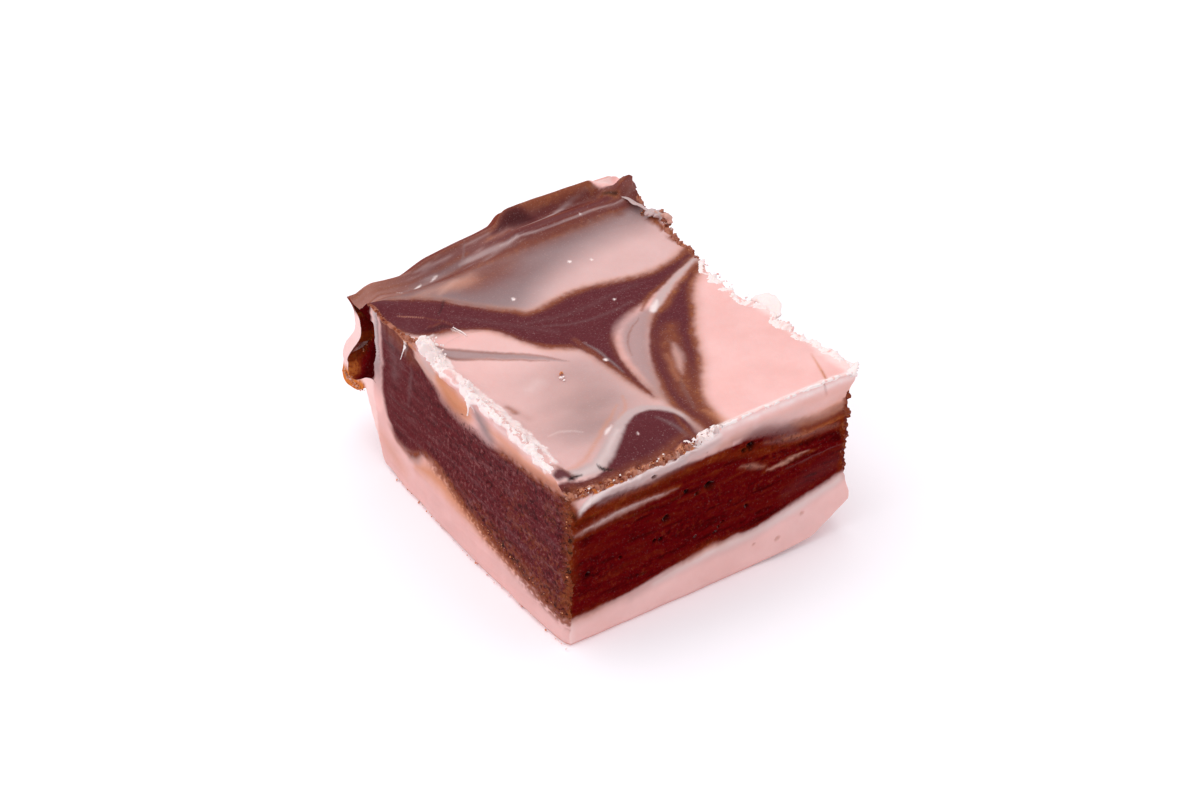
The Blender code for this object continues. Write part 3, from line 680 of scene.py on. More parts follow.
ON_THE_RIM = (
    ("grey", 0.50, 1.2, [(-17.5, 31.8, 0.3), (-14, 32.4, 0.8), (-9, 32.8, 0.7), (-5, 32.8, 0.4)]),
    # Pale lines along the dragged rim, partly painted highlights on its ridges
    ("pale", 0.55, 0.7, [(-7, 32.7, 0.1), (-4.6, 32.5, 0.55), (-1, 32.0, 0.5), (3, 31.7, 0.25)]),
    ("pale", 0.55, 0.35, [(0, 31.9, 0.1), (4, 31.6, 0.18), (8, 31.3, 0.12), (14, 31.5, 0.18),
                          (18, 31.5, 0.14), (22.6, 31.4, 0.08)]),
    ("pale", 0.75, 0.4, [(3, 33.5, 0.05), (6, 33.3, 0.18), (9, 33.4, 0.26), (12, 34.2, 0.22),
                         (16, 35.1, 0.2), (20.4, 35.6, 0.1)]),
    ("cocoa", 0.55, 0.6, [(-2, 33.4, 0.1), (4, 32.4, 0.35), (10, 32.4, 0.35), (21, 32.6, 0.4)]),
    ("cocoa", 0.45, 0.6, [(2, 34.8, 0.1), (8, 34.6, 0.3), (14, 35.6, 0.2)]),
    ("grey", 0.55, 0.35, [(-4.2, 35.6, 0.05), (-5.4, 34.0, 0.12), (-7.2, 32.4, 0.1)]),
    # Painted glints: small white highlights on the rim
    ("white", 0.85, 0.35, [(-15.6, 31.7, 0.05), (-14.8, 32.0, 0.3), (-14.0, 32.4, 0.05)]),
    ("white", 0.80, 0.3, [(-12.2, 32.3, 0.05), (-11.4, 32.7, 0.22), (-10.8, 32.9, 0.02)]),
    ("white", 0.55, 0.3, [(-18.4, 32.2, 0.04), (-17.8, 31.6, 0.12)]),
    ("rust", 0.40, 0.9, [(-24, 34.8, 0.3), (-16, 35.2, 0.4), (-6, 35.6, 0.3), (0, 36, 0.1)]),
    ("rust", 0.55, 2.2, [(-21, 30.0, 0.3), (-12, 30.6, 0.6), (0, 30.0, 0.8), (10, 29.8, 0.6),
                         (21, 29.8, 0.3)]),
    # Painted shadow in the crease along the raised flap
    ("rust", 0.75, 1.2, [(0.4, 35.4, 0.3), (4, 36.4, 1.2), (8, 36.4, 1.3), (13, 35.9, 1.0),
                         (19, 36.0, 1.2)]),
    ("cocoa", 0.85, 1.4, [(0.4, 34.8, 0.1), (3.0, 35.3, 0.9), (5.4, 35.4, 1.1), (7.9, 34.3, 0.2)]),
    ("painted_shade", 0.38, 1.1, [(0.6, 34.7, 0.1), (3.0, 35.2, 0.7), (5.4, 35.3, 0.9), (7.6, 34.3, 0.1)]),
    ("cocoa", 0.60, 0.9, [(8, 34.6, 0.2), (13, 34.9, 0.5), (18.6, 35.1, 0.4)]),
    ("rust", 0.80, 0.6, [(18.6, 37.2, 0.4), (18.9, 35.4, 0.3)]),
    ("pink", 1.0, 0.6, [(19.9, 37.0, 0.8), (21.2, 36.1, 1.5), (23.2, 35.9, 1.2), (24.8, 35.9, 0.7)]),
    ("white", 0.45, 1.0, [(20.2, 36.8, 0.6), (22.6, 36.2, 0.8)]),
    # Painted shade under the curl and in its hole
    ("rust", 0.90, 0.7, [(19.6, 34.3, 0.1), (20.9, 33.6, 0.5), (22.2, 32.4, 0.5)]),
    ("painted_shade", 0.75, 0.5, [(20.4, 34.0, 0.1), (21.4, 33.2, 0.3), (22.2, 32.6, 0.2)]),
    ("painted_shade", 0.75, 0.6, [(24.4, 34.4, 0.2), (25.0, 33.4, 0.35)]),
    ("rust", 0.80, 0.9, [(23.4, 33.4, 0.3), (24.6, 34.4, 0.5), (25.4, 34.6, 0.3)]),
)
SPECKS = ((-5.8, 18.9, 0.28), (7.1, 23.2, 0.28), (10.2, 21.8, 0.20), (6.9, 10.6, 0.20),
          (-3.0, -1.8, 0.30), (-9.5, -19.6, 0.14), (14.6, 31.6, 0.14))


def top_tints(x, y):
    """The marbling seen from above."""
    s = fresh(x)
    u = x + 0.20 * cloud(x, y, 0, 2.2, 81)
    v = y + 0.20 * cloud(x, y, 0, 2.6, 83) + 0.09 * noise(x, y, 0, 0.5, 82)
    main, right, dome = (region(shape, u, v) for shape in (MAIN_SWIRL, RIGHT_SWIRL, DOME))
    # The left of the top, hazed grey by the cocoa that lies under its skin
    left = (1 - ease(-3.4, -1.0, x + 0.12 * y)) * (1 - ease(11, 15, y))
    haze = (0.24 * bump(x, y, -5.5, -5, 5, 11) + 0.46 * bump(x, y, -12, -7, 9, 10)
            + 0.50 * bump(x, y, -15, -15, 9, 6)) * (0.94 + 0.30 * cloud(x * 0.6, y, 0, 5, 85))
    lay(s, "white", 0.10 * left)
    lay(s, "pale", 0.16 * left)
    lay(s, "grey", np.clip(haze, 0, 0.74) * left)
    lay(s, "tan", 0.08 * left * bump(x, y, -12, -10, 10, 11))
    lay(s, "grey", 0.05 + 0.05 * cloud(x, y, 0, 8, 86) + 0.08 * ease(12, 15, y))
    # Behind the main strand, greyer towards the rim and clotted brown along it
    behind = ease(-0.4, 0.4, -main) * ease(12, 15, y + 0.2 * np.minimum(x + 6, 0))
    depth = 0.24 + 0.7 * ease(-5, 5, y - grey_from(x) + 0.5 * cloud(x, y, 0, 5, 87))
    lay(s, "white", 0.18 * behind)
    lay(s, "grey", behind * depth)
    lay(s, "cocoa", 0.20 * behind * (1 - ease(-9, 4, x)) * ease(17, 23, y))
    clotted = bump(x, y, -5, 26.4, 7.0, 3.6) + 0.6 * bump(x, y, 6, 29, 12, 1.4)
    lay(s, "brown", 0.74 * behind * clotted * (1 + 0.4 * cloud(x / 2, y, 0, 3, 75)))
    lay(s, "grey", 0.70 * within(region(GREY_SIDE, u, v), 1.8))
    brush(s, u, v, UNDER_COCOA)
    # The cocoa itself: the main strand, soft where it is thin, the right strand and the dome
    tail_soft = bump(x, y, 4.5, 5, 5, 3.5)
    warm = (0.5 + 0.5 * ease(-12, -6, x) * ease(12, 14.5, y) + 0.5 * bump(x, y, -8, 5, 3, 3))
    pour(s, main + 0.12 * cloud(x, y, 0, 1.0, 88), 0.55 + 2.0 * tail_soft,
         warm * (1 - tail_soft) * (0.85 + 0.35 * cloud(x, y, 0, 1.2, 91)), 0.55 * tail_soft)
    outer = ease(-1.5, 1.5, x - 0.62 * y - 6.6)
    pour(s, right, 0.7, (0.15 + 0.75 * outer) * (0.9 + 0.4 * cloud(x, y, 0, 1.2, 92)), 0.3)
    lay(s, "rust", 0.85 * within(region(WARM_CORE, u, v), 2.6)
        * (0.85 + 0.25 * cloud(x * 1.6, y * 0.7, 0, 2, 93)))
    pour(s, dome, 0.5, 0.0)
    s["grain"] = 0.14 * s["cocoa"]
    brush(s, u, v, OVER_COCOA)
    paint_rim(s, x, y, u, v)
    # Flaky white burr along the first cut, a crumbly strip and a smooth ridge along the second,
    # whose white line is a painted highlight
    wander = x + 0.5 * cloud(x, y, 0, 1.0, 94)
    burr = streak([(-24.8, 16.4, 0.3), (-23.6, 12.4, 0.9), (-23.2, 9.4, 1.0), (-24.4, 5.5, 0.2),
                   (-23.8, 1.5, 0.9), (-23.4, -4, 0.9), (-23.3, -10, 0.8), (-23.2, -15, 0.9),
                   (-23.5, -19.6, 0.5)], wander, y)
    lay(s, "white", within(burr, 0.4) * (0.75 + 0.3 * noise(x, y, 0, 0.5, 95)))
    strip = (1 - ease(-24.6, -23.9, y + 0.4 * cloud(x, y, 0, 0.8, 96))) * (1 - ease(-2.6, -1, x))
    lay(s, "rust", strip * (0.7 + 0.3 * noise(x, y, 0, 0.5, 97)))
    lay(s, "tan", strip * ease(0.1, 0.7, noise(x, y, 0, 0.7, 98)))
    ridge = bump(0, y, 0, -24.6, 1, 0.40) * ease(-2.4, 0.5, x)
    lay(s, "white", ridge * (0.65 + 0.3 * cloud(x, y, 0, 1.2, 99)))
    right_edge = ease(22.6, 24.4, x + 0.5 * cloud(x, y, 0, 1.3, 90)) * (1 - ease(12, 13, y))
    lay(s, "white", 0.55 * right_edge)
    # Painted shadow: rust-brown along the flaky right edge, under its flakes
    edge_shadow = ease(23.3, 24.2, x + 0.4 * cloud(x, y, 0, 1.3, 90)) * ease(14, 15.5, y)
    lay(s, "rust", edge_shadow * (1 - ease(29, 31, y)) * ease(-0.3, 0.4, noise(x, y, 0, 1.0, 89)))
    brush(s, x, y, (("tan", 0.9, 0.5, [(22.4, -17.6, 0.02), (21.4, -20.6, 0.16), (20.3, -23.4, 0.2),
                                       (19.2, -25.9, 0.1)]),
                    ("rust", 0.5, 0.3, [(20.9, -22.0, 0.02), (20.3, -23.4, 0.1), (19.9, -24.6, 0.04)])))
    for sx, sy, r in SPECKS:
        lay(s, "white", within(r - np.hypot(x - sx, (y - sy) * 0.8), 0.25))
    return s


def paint_rim(s, x, y, u, v):
    """The brown skin dragged up against the tray side, in long streaks, with some painted sheen."""
    rim = within(v - rim_from(x) + 0.3 * cloud(x / 3, y, 0, 1, 79), 1.6)
    streaky = noise(x / 16, y, 0, 0.75, 78) + 0.5 * noise(x / 9, y, 0, 0.4, 77)
    # Lighter, greyer towards the sloping left end and pale fine lines: partly painted sheen
    dragged = fresh(x)
    lay(dragged, "brown", 1.0)
    lay(dragged, "cocoa", 0.16 * ease(-20, 0, x) + 0.50 * ease(0, 12, x)
        + 0.5 * ease(0.1, 1.1, streaky))
    fine_lines = noise(x / 10, y, 0, 0.3, 74) + 0.6 * noise(x / 22, y, 0, 0.55, 73)
    lay(dragged, "rose", 0.32 * ease(0.2, 1.2, -streaky) * (1 - 0.6 * ease(2, 14, x))
        + 0.24 * (1 - ease(-25, -9, x)))
    lay(dragged, "tan", 0.16 * (1 - ease(-24, -12, x)) + 0.15 * ease(34.8, 36.4, y))
    lay(dragged, "rust", 0.45 * ease(0.1, 1.0, fine_lines) + 0.22 * ease(2, 12, x))
    lay(dragged, "pale", 0.35 * ease(0.4, 1.2, -fine_lines) * (1 - 0.8 * ease(-6, 8, x)))
    for m in LAYERS:
        s[m] = mix(s[m], dragged[m], rim)
    brush(s, u, y + 0.12 * cloud(x / 4, y, 0, 1.4, 76), ON_THE_RIM)


COCOA_ON_A = [(-25.4, 30.5), (-25.5, 25), (-25.8, 21), (-26.3, 18), (-26.5, 15.5),
              (-26.0, 12.8), (-24.9, 10.3), (-23, 8.4), (-20, 7.8), (-17.5, 8.2),
              (-15.5, 9.8), (-13, 11.0), (-10, 11.4), (-7, 11.0), (-4, 10.3), (0, 9.1),
              (4, 8.1), (8, 7.4), (13, 6.6), (18, 6.0), (22, 5.4), (27, 4.8), (27, 26.6),
              (21, 26.0), (17, 25.3), (12, 25.0), (8.5, 24.5), (6, 23.9), (3, 24.2),
              (0.5, 23.9), (-2, 23.3), (-5, 23.2), (-7.6, 23.9), (-9.4, 25.0), (-12, 25.6),
              (-14.6, 26.2), (-15.8, 27.6), (-16.4, 30.5)]
# Marks on the first cut face: (u, z, half width), with u to the right as it is looked at
UNDER_ON_A = (
    ("tan", 0.45, 5.0, [(-28, 6, 0.5), (-24, 4.5, 1.5), (-20, 3.5, 0.5)]),
    ("rust", 0.40, 1.6, [(-25, 9.4, 0.2), (-22, 7.9, 0.5), (-18.6, 7.6, 0.2)]),
    ("tan", 0.92, 3.0, [(-16, 6.9, 0.4), (-11, 9.0, 1.5), (-4, 8.6, 1.5), (4, 7.2, 1.0),
                        (12, 6.0, 0.5)]),
    ("rust", 0.72, 1.4, [(-13.6, 10.8, 0.2), (-8, 10.8, 0.5), (-3, 9.8, 0.6), (3, 8.6, 0.6),
                         (12, 6.9, 0.5)]),
    ("grey", 0.85, 2.0, [(-18.2, 7.4, 0.4), (-16.2, 8.6, 1.1), (-14.6, 9.6, 0.4)]),
    ("tan", 0.78, 2.4, [(5, 26.4, 0.5), (12, 26.6, 1.0), (18, 27.0, 1.0), (23, 27.8, 0.7)]),
    ("rust", 0.60, 1.5, [(6, 25.0, 0.4), (12, 25.7, 0.5), (18, 26.1, 0.6), (23.4, 27.2, 0.7)]),
    ("white", 0.45, 1.8, [(7, 28.3, 0.4), (14, 28.3, 0.6), (19, 28.5, 0.4)]),
    ("tan", 1.0, 3.0, [(-11, 27.4, 0.5), (-7.5, 26.6, 1.7), (-4.6, 25.6, 2.3), (-1.2, 26.0, 1.7)]),
    ("rust", 0.36, 3.2, [(-9.4, 25.2, 0.4), (-5.6, 24.2, 1.2), (-1.6, 24.0, 0.5)]),
    ("grey", 0.90, 3.0, [(1.4, 27.6, 0.5), (3.4, 26.2, 1.5), (5.6, 25.0, 0.8)]),
    ("cream", 0.90, 2.2, [(-15.6, 27.8, 0.6), (-13.4, 27.0, 1.4), (-10.8, 26.4, 1.0)]),
    ("taupe", 0.40, 1.6, [(-15.4, 27.2, 0.4), (-13.0, 26.4, 0.6), (-11.0, 26.0, 0.4)]),
    ("pale", 0.65, 1.6, [(-13.4, 28.6, 0.3), (-11.6, 27.7, 0.8), (-10.0, 27.4, 0.4)]),
    ("rust", 0.45, 1.5, [(-16, 26.4, 0.2), (-13.2, 25.2, 0.4), (-9.6, 25.0, 0.3)]),
)
OVER_ON_A = (
    ("grey", 0.20, 1.4, [(-16.8, 25, 0.1), (-17.4, 21, 0.5), (-18.2, 17, 0.1)]),
    ("grey", 0.22, 4.0, [(-24, 27, 1.5), (-21, 24, 1.5), (-22, 20, 0.5)]),
    ("tan", 0.14, 3.0, [(-23, 28, 1.5), (-18, 27, 1.5), (-15.5, 26, 0.5)]),
    ("cocoa", 0.55, 1.2, [(-21.6, 28, 0.4), (-21.2, 24.5, 0.5), (-20.8, 22, 0.2)]),
    ("rust", 0.30, 1.6, [(-16.6, 28, 0.8), (-17, 25.6, 0.5)]),
    ("rust", 0.55, 1.2, [(-24.6, 27.6, 0.2), (-22.6, 27.4, 0.5), (-18, 27.8, 0.3)]),
    ("cocoa", 0.80, 0.8, [(-23.8, 28, 0.3), (-23.6, 25.5, 0.3)]),
    # Thin lines and a crack of painted shade
    ("painted_shade", 0.35, 0.5, [(-25, 15.6, 0.08), (-17, 15.8, 0.14), (-10, 16.6, 0.06)]),
    ("painted_shade", 0.30, 0.5, [(-16, 20.6, 0.05), (-8, 20.4, 0.12), (0, 20.6, 0.04)]),
    ("painted_shade", 0.60, 0.4, [(20.6, 22.4, 0.05), (22.2, 21.2, 0.14), (23.2, 20.0, 0.05)]),
)


def side_a_tints(y, z, is_base):
    """The first cut face, dragged smooth by the knife."""
    u = -y
    s = fresh(u)
    w = z + 0.16 * cloud(0, u, z, 1.6, 101)
    q = u + 0.16 * cloud(0, z, u, 1.6, 102)
    body = region(COCOA_ON_A, q, w)
    lay(s, "grey", 0.18 + 0.10 * cloud(0, u / 2, z, 4, 103))
    brush(s, q, w, UNDER_ON_A)
    # The cocoa's edge, blurred where the pink was dragged over it and gritty at the right
    blur = 2.6 * bump(u, z, -5.5, 23.4, 5, 2.4) + 1.6 * bump(u, z, 3, 24, 4, 2) \
        + 2.0 * bump(u, z, -18, 8, 5, 2.4) + 0.9 * bump(u, z, -26, 16, 2, 9)
    low = (z < 14) * ease(-26, -15, u)
    high = (z > 19) * ease(5, 9, u)
    speckled = 0.75 + 0.5 * noise(0, u, z, 0.55, 104)
    pour(s, body, 0.8 + blur, (0.95 * low + 0.95 * high) * speckled)
    grit = grains(0, u, z, 0.6, 105)
    # Grit along the cocoa's lower edge: rust grains, with painted shade between them
    near_low = np.exp(-((body - 1.4) / 1.6) ** 2) * (z < 14) * ease(-8, 10, u)
    lay(s, "rust", 0.85 * near_low * ease(0.25, 0.7, grit))
    lay(s, "painted_shade", 0.7 * near_low * ease(0.2, 0.6, cloud(0, u, z, 0.9, 119)))
    below = np.exp(-((body + 0.9) / 1.0) ** 2) * (z < 14) * ease(-14, -9, u)
    lay(s, "rust", 0.80 * below * ease(0.30, 0.65, grit))
    sprinkle = ease(0.55, 0.8, grit) * ease(-0.1, 0.5, noise(0, u, z, 3.5, 106))
    lay(s, "rust", 0.55 * sprinkle * within(body, 1) * ease(-4, 14, u - (z - 12)))
    # Knife drag along the cut, as long pale lines and dark lines of painted shade
    drag = noise(0, u / 9, z - 0.055 * u, 0.6, 107) + 0.6 * noise(0, u / 5, z - 0.06 * u, 0.3, 108)
    in_cocoa = within(body - 0.6, 1.0)
    coarse_side = ease(-22, 2, u)
    lay(s, "grey", 0.12 * in_cocoa * ease(0.1, 1.2, drag))
    lay(s, "painted_shade", 0.34 * in_cocoa * ease(0.2, 1.3, -drag))
    s["grain"] = within(body + 0.3, 1.0) * (0.30 + 0.70 * coarse_side)
    brush(s, q, w, OVER_ON_A)
    brown_top = (1 - ease(-15.4, -13.4, q)) * ease(28.0, 28.9, z) * (u > -28)
    lay(s, "rust", brown_top * (0.5 + 0.5 * grit))
    lay(s, "tan", 0.7 * brown_top * (grit > 0.55))
    # The skin of the base, seen as an upright streak beside the torn end
    skin = streak([(-27.0, 30, 0.7), (-26.9, 26, 0.9), (-27.2, 21, 1.0), (-28.0, 16, 1.5),
                   (-28.6, 12, 2.2)], q, z)
    lay(s, "pink", within(skin, 0.9))
    lay(s, "grey", 0.90 * within(skin, 1.2) * ease(11, 20, z))
    lay(s, "white", 0.25 * within(skin + 0.3, 0.7) * ease(18, 22, z) * (u < -26.8))
    # The burr at the top edge, with the two spikes of pink pulled down from it
    to_top = top_a(y) - z
    ragged = (0.75 + 0.8 * cloud(0, u, z, 1.3, 110)) * (1 - 0.8 * bump(y, 0, 4.8, 0, 2.4, 1))
    burr = (1 - ease(ragged - 0.25, ragged + 0.25, to_top)) * ease(-14.6, -13, u)
    lay(s, "white", burr * (1 - ease(19.5, 21.5, u)) * 0.9)
    brush(s, u, z, (("white", 0.9, 0.4, [(1.0, 30.6, 0.9), (1.2, 28.8, 0.35), (1.2, 27.2, 0.0)]),
                    ("white", 0.7, 0.3, [(-17.6, 28.6, 0.4), (-17.8, 27, 0.14), (-18.6, 25.2, 0.0)])))
    # The crumbly corner: rust, with painted shade between its lumps
    corner = ease(23.3, 24.7, u + 0.7 * cloud(0, u, z, 1.0, 111)) * ease(4.8, 5.6, z)
    lay(s, "rust", corner * 0.9)
    lay(s, "painted_shade", corner * 0.5 * ease(0.1, 0.7, noise(0, u, z, 0.7, 112)))
    foot = 1 - ease(0.15, 0.6, z + 0.3 * cloud(0, u, 0, 0.8, 113))
    lay(s, "tan", 0.3 * foot * (noise(0, u, z, 0.8, 114) > 0.1))
    # The torn end inside the fold, with clear amber grains, and its pale outer skin. Its cocoa is
    # darkened with painted shade deeper in and warmed with a painted glow near the skin and low
    # down; the base's tan tip is partly painted light.
    coarse = grains(torn_depth(y, z), u, z, 0.6, 115)
    in_fold = ease(28.0, 28.8, y - 0.8 * bump(0, z, 0, 14, 1, 3))
    if is_base:
        lay(s, "pink", in_fold)
        lay(s, "white", 0.35 * in_fold)
        tip = in_fold * (1 - ease(12.0, 13.6, z + 0.5 * cloud(0, u, z, 1.0, 116))) * ease(31, 32.4, y)
        lay(s, "tan", tip)
        lay(s, "rust", tip * (1 - ease(0.15, 0.5, coarse)) * 0.7)
        lay(s, "brown", in_fold * ease(24.6, 25.6, z))
    else:
        from_skin = (u - fold_skin(z)) / (3.4 - 2.0 * ease(14, 20, z)) \
            + 0.16 * cloud(0, u, z, 1.6, 117)
        lay(s, "cocoa", in_fold)
        lay(s, "painted_shade", in_fold * 0.55 * ease(0.8, 1.3, from_skin))
        lay(s, "rust", in_fold * (1 - ease(0.05, 0.8, from_skin))
            * (0.35 + 0.5 * ease(0.2, 0.7, coarse)))
        low = in_fold * (1 - ease(12.5, 15.5, z)) * (1 - ease(0.2, 1.0, from_skin))
        lay(s, "rust", 0.85 * low)
        lay(s, "tan", low * (0.12 + 0.50 * ease(0.4, 0.7, coarse)))
    s["cut"] = 0.50 + 0.50 * in_fold
    s["grain"] = s["grain"] * (1 - in_fold)
    return s


fold_skin = line([(9, -38.2), (12, -38.0), (14, -37.2), (18, -35.0), (22, -32.4), (26, -33.2)])

COCOA_ON_B = [(-27, 4.6), (-25, 5.1), (-20, 5.3), (-15, 5.6), (-10, 6.3), (-5, 7.3),
              (-2, 8.0), (0, 8.3), (2, 7.7), (4, 8.1), (6, 7.6), (9, 7.9), (13, 9.0),
              (18, 10.0), (27, 12.4), (27, 22.6), (22, 22.2), (18, 21.8), (15, 22.2),
              (13, 23.0), (10.5, 24.0), (8, 24.7), (6, 24.9), (4, 24.6), (2, 24.3), (0, 24.5),
              (-3, 24.3), (-7, 24.2), (-12, 23.8), (-16, 24.4), (-19, 24.8), (-21, 24.2),
              (-23, 22.8), (-24.5, 22.0), (-27, 22)]
# Marks on the second cut face: (x, z, half width)
UNDER_ON_B = (
    ("grey", 0.30, 2.6, [(-14, 4.6, 0.4), (-4, 6.2, 0.7), (6, 6.4, 0.8), (14, 8.0, 0.9),
                         (24, 10.2, 0.6)]),
    ("white", 0.60, 1.8, [(-10, 5.4, 0.2), (0, 6.8, 0.6), (8, 6.8, 0.6), (16, 8.4, 0.7),
                          (23, 10.2, 0.5)]),
    ("taupe", 0.62, 2.6, [(3, 25.4, 0.3), (8, 25.4, 0.8), (12, 24.4, 1.1), (16, 23.2, 1.0)]),
    ("rust", 0.45, 2.2, [(1, 25.2, 0.3), (5, 25.3, 0.5), (9, 24.6, 0.5), (13, 23.2, 0.5)]),
    ("tan", 0.60, 2.8, [(14, 23.6, 0.4), (18, 23.4, 1.0), (23.4, 23.8, 1.3)]),
    ("grey", 0.35, 2.4, [(14, 23.4, 0.6), (19, 22.6, 0.8), (23.4, 22.2, 0.8)]),
    ("rust", 0.65, 2.2, [(13, 22.6, 0.3), (18, 22.4, 0.9), (23.6, 22.6, 1.1)]),
    ("brown", 0.50, 2.4, [(11, 23.8, 0.3), (15, 22.9, 0.9), (19, 22.4, 1.1), (23.6, 22.2, 1.3)]),
    ("tan", 0.35, 2.4, [(0.6, 25.6, 0.2), (3, 26.2, 0.5), (6, 26.4, 0.2)]),
    ("grey", 0.10, 2.4, [(6, 26.2, 0.3), (13, 25.6, 0.5), (22, 25.2, 0.3)]),
    ("tan", 0.22, 2.4, [(8, 26.8, 0.3), (15, 26.6, 0.8), (24, 26.4, 0.7)]),
)
OVER_ON_B = (
    # The pale band along the upper edge, grey below, white above
    ("grey", 0.75, 2.0, [(-19.5, 23.9, 0.3), (-16, 24.2, 0.7), (-12, 24.0, 0.6), (-8, 24.1, 0.4),
                         (-4, 24.3, 0.1)]),
    ("pale", 0.34, 2.6, [(-3, 26.2, 1.2), (2, 26.6, 0.9), (8, 26.4, 0.5), (15, 25.8, 0.2)]),
    ("pale", 0.85, 0.7, [(-23.6, 22.6, 0.35), (-22.2, 24.3, 0.6), (-20, 25.2, 0.7),
                         (-16.5, 25.2, 0.6), (-13, 25.2, 0.7), (-10, 25.7, 1.1), (-6, 25.8, 1.4)]),
    ("pale", 0.70, 1.8, [(-7, 25.8, 1.2), (-3, 26.0, 1.2), (0, 26.4, 0.8)]),
    ("white", 0.85, 0.9, [(-23.6, 22.8, 0.2), (-22.2, 24.4, 0.45), (-19.8, 25.4, 0.4),
                          (-16.5, 25.7, 0.3), (-13, 25.7, 0.4)]),
    ("white", 0.95, 1.3, [(-13, 25.9, 0.2), (-10, 26.4, 0.8), (-6, 26.7, 0.9), (-3, 27.0, 0.6),
                          (0.6, 27.4, 0.2)]),
    # Streaks of thinner cocoa in the dark
    ("rust", 0.60, 1.0, [(-24.4, 19.5, 0.3), (-20, 20.1, 0.7), (-15, 20.6, 0.7), (-10, 20.9, 0.6),
                         (-6.2, 20.9, 0.2)]),
    ("rust", 0.80, 0.8, [(-24, 20.2, 0.3), (-19, 21.3, 0.4), (-13, 21.5, 0.4), (-6, 21.2, 0.3)]),
    ("brown", 0.80, 1.1, [(-24, 19.9, 0.3), (-17.5, 20.8, 0.7), (-11, 20.9, 0.5),
                          (-6.4, 20.8, 0.0)]),
    ("taupe", 0.70, 0.7, [(-24, 19.7, 0.2), (-21, 20.2, 0.42), (-17.5, 20.7, 0.50),
                          (-14, 20.8, 0.46), (-11, 20.9, 0.40), (-8.6, 20.9, 0.25),
                          (-6.4, 20.8, 0.0)]),
    ("pale", 0.70, 0.5, [(-22, 20.2, 0.05), (-17.5, 20.9, 0.20), (-12, 21.0, 0.10),
                         (-9, 21.0, 0.02)]),
    ("rust", 0.45, 0.5, [(-24.6, 19.0, 0.1), (-18, 19.4, 0.16), (-12, 19.4, 0.14), (-6, 19.2, 0.02)]),
    ("rust", 0.74, 1.8, [(-24, 22.4, 0.6), (-19, 22.8, 0.9), (-12, 22.8, 0.8), (-4, 23.2, 0.5),
                         (2, 23.8, 0.4)]),
    ("rust", 0.55, 1.6, [(-1, 23.4, 0.2), (4, 22.4, 0.6), (9, 21.2, 0.6), (16, 20.6, 0.6),
                         (23.4, 20.6, 0.8)]),
    ("rust", 0.40, 2.2, [(-25, 8, 0.6), (-24, 13, 0.8), (-24, 18, 0.6)]),
    ("taupe", 0.30, 1.5, [(9, 22.6, 0.1), (13, 21.6, 0.5), (18, 20.8, 0.4), (22, 20.4, 0.2)]),
    ("tan", 0.35, 1.0, [(12, 21.9, 0.05), (16, 21.4, 0.25), (23, 21.6, 0.25)]),
    ("rust", 0.55, 1.4, [(4.4, 19.8, 0.1), (6.6, 19.2, 0.5), (9.4, 18.2, 0.3)]),
    ("cream", 0.40, 0.9, [(4.6, 20.0, 0.05), (6.6, 19.2, 0.4), (9, 18.2, 0.1)]),
    ("rust", 0.60, 0.8, [(8.4, 17.3, 0.1), (11.5, 17.5, 0.35), (15, 17.8, 0.35), (18, 17.6, 0.1)]),
    ("cream", 0.75, 0.5, [(9.4, 17.4, 0.05), (12, 17.5, 0.24), (14.4, 17.8, 0.22),
                          (17, 17.9, 0.02)]),
    ("grey", 0.22, 0.4, [(13, 16.3, 0.05), (18, 16.3, 0.1), (23.4, 16.7, 0.08)]),
    ("grey", 0.06, 3.4, [(13, 11.6, 0.4), (18, 13.2, 1.2), (23.4, 14.2, 1.0)]),
    # Painted shade in a crack and a groove
    ("painted_shade", 0.45, 0.8, [(-22.8, 21.8, 0.2), (-21.4, 21.8, 0.3), (-20.6, 21.9, 0.1)]),
    ("painted_shade", 0.45, 0.6, [(5.5, 8.3, 0.1), (9, 8.8, 0.25), (12, 9.4, 0.1)]),
)


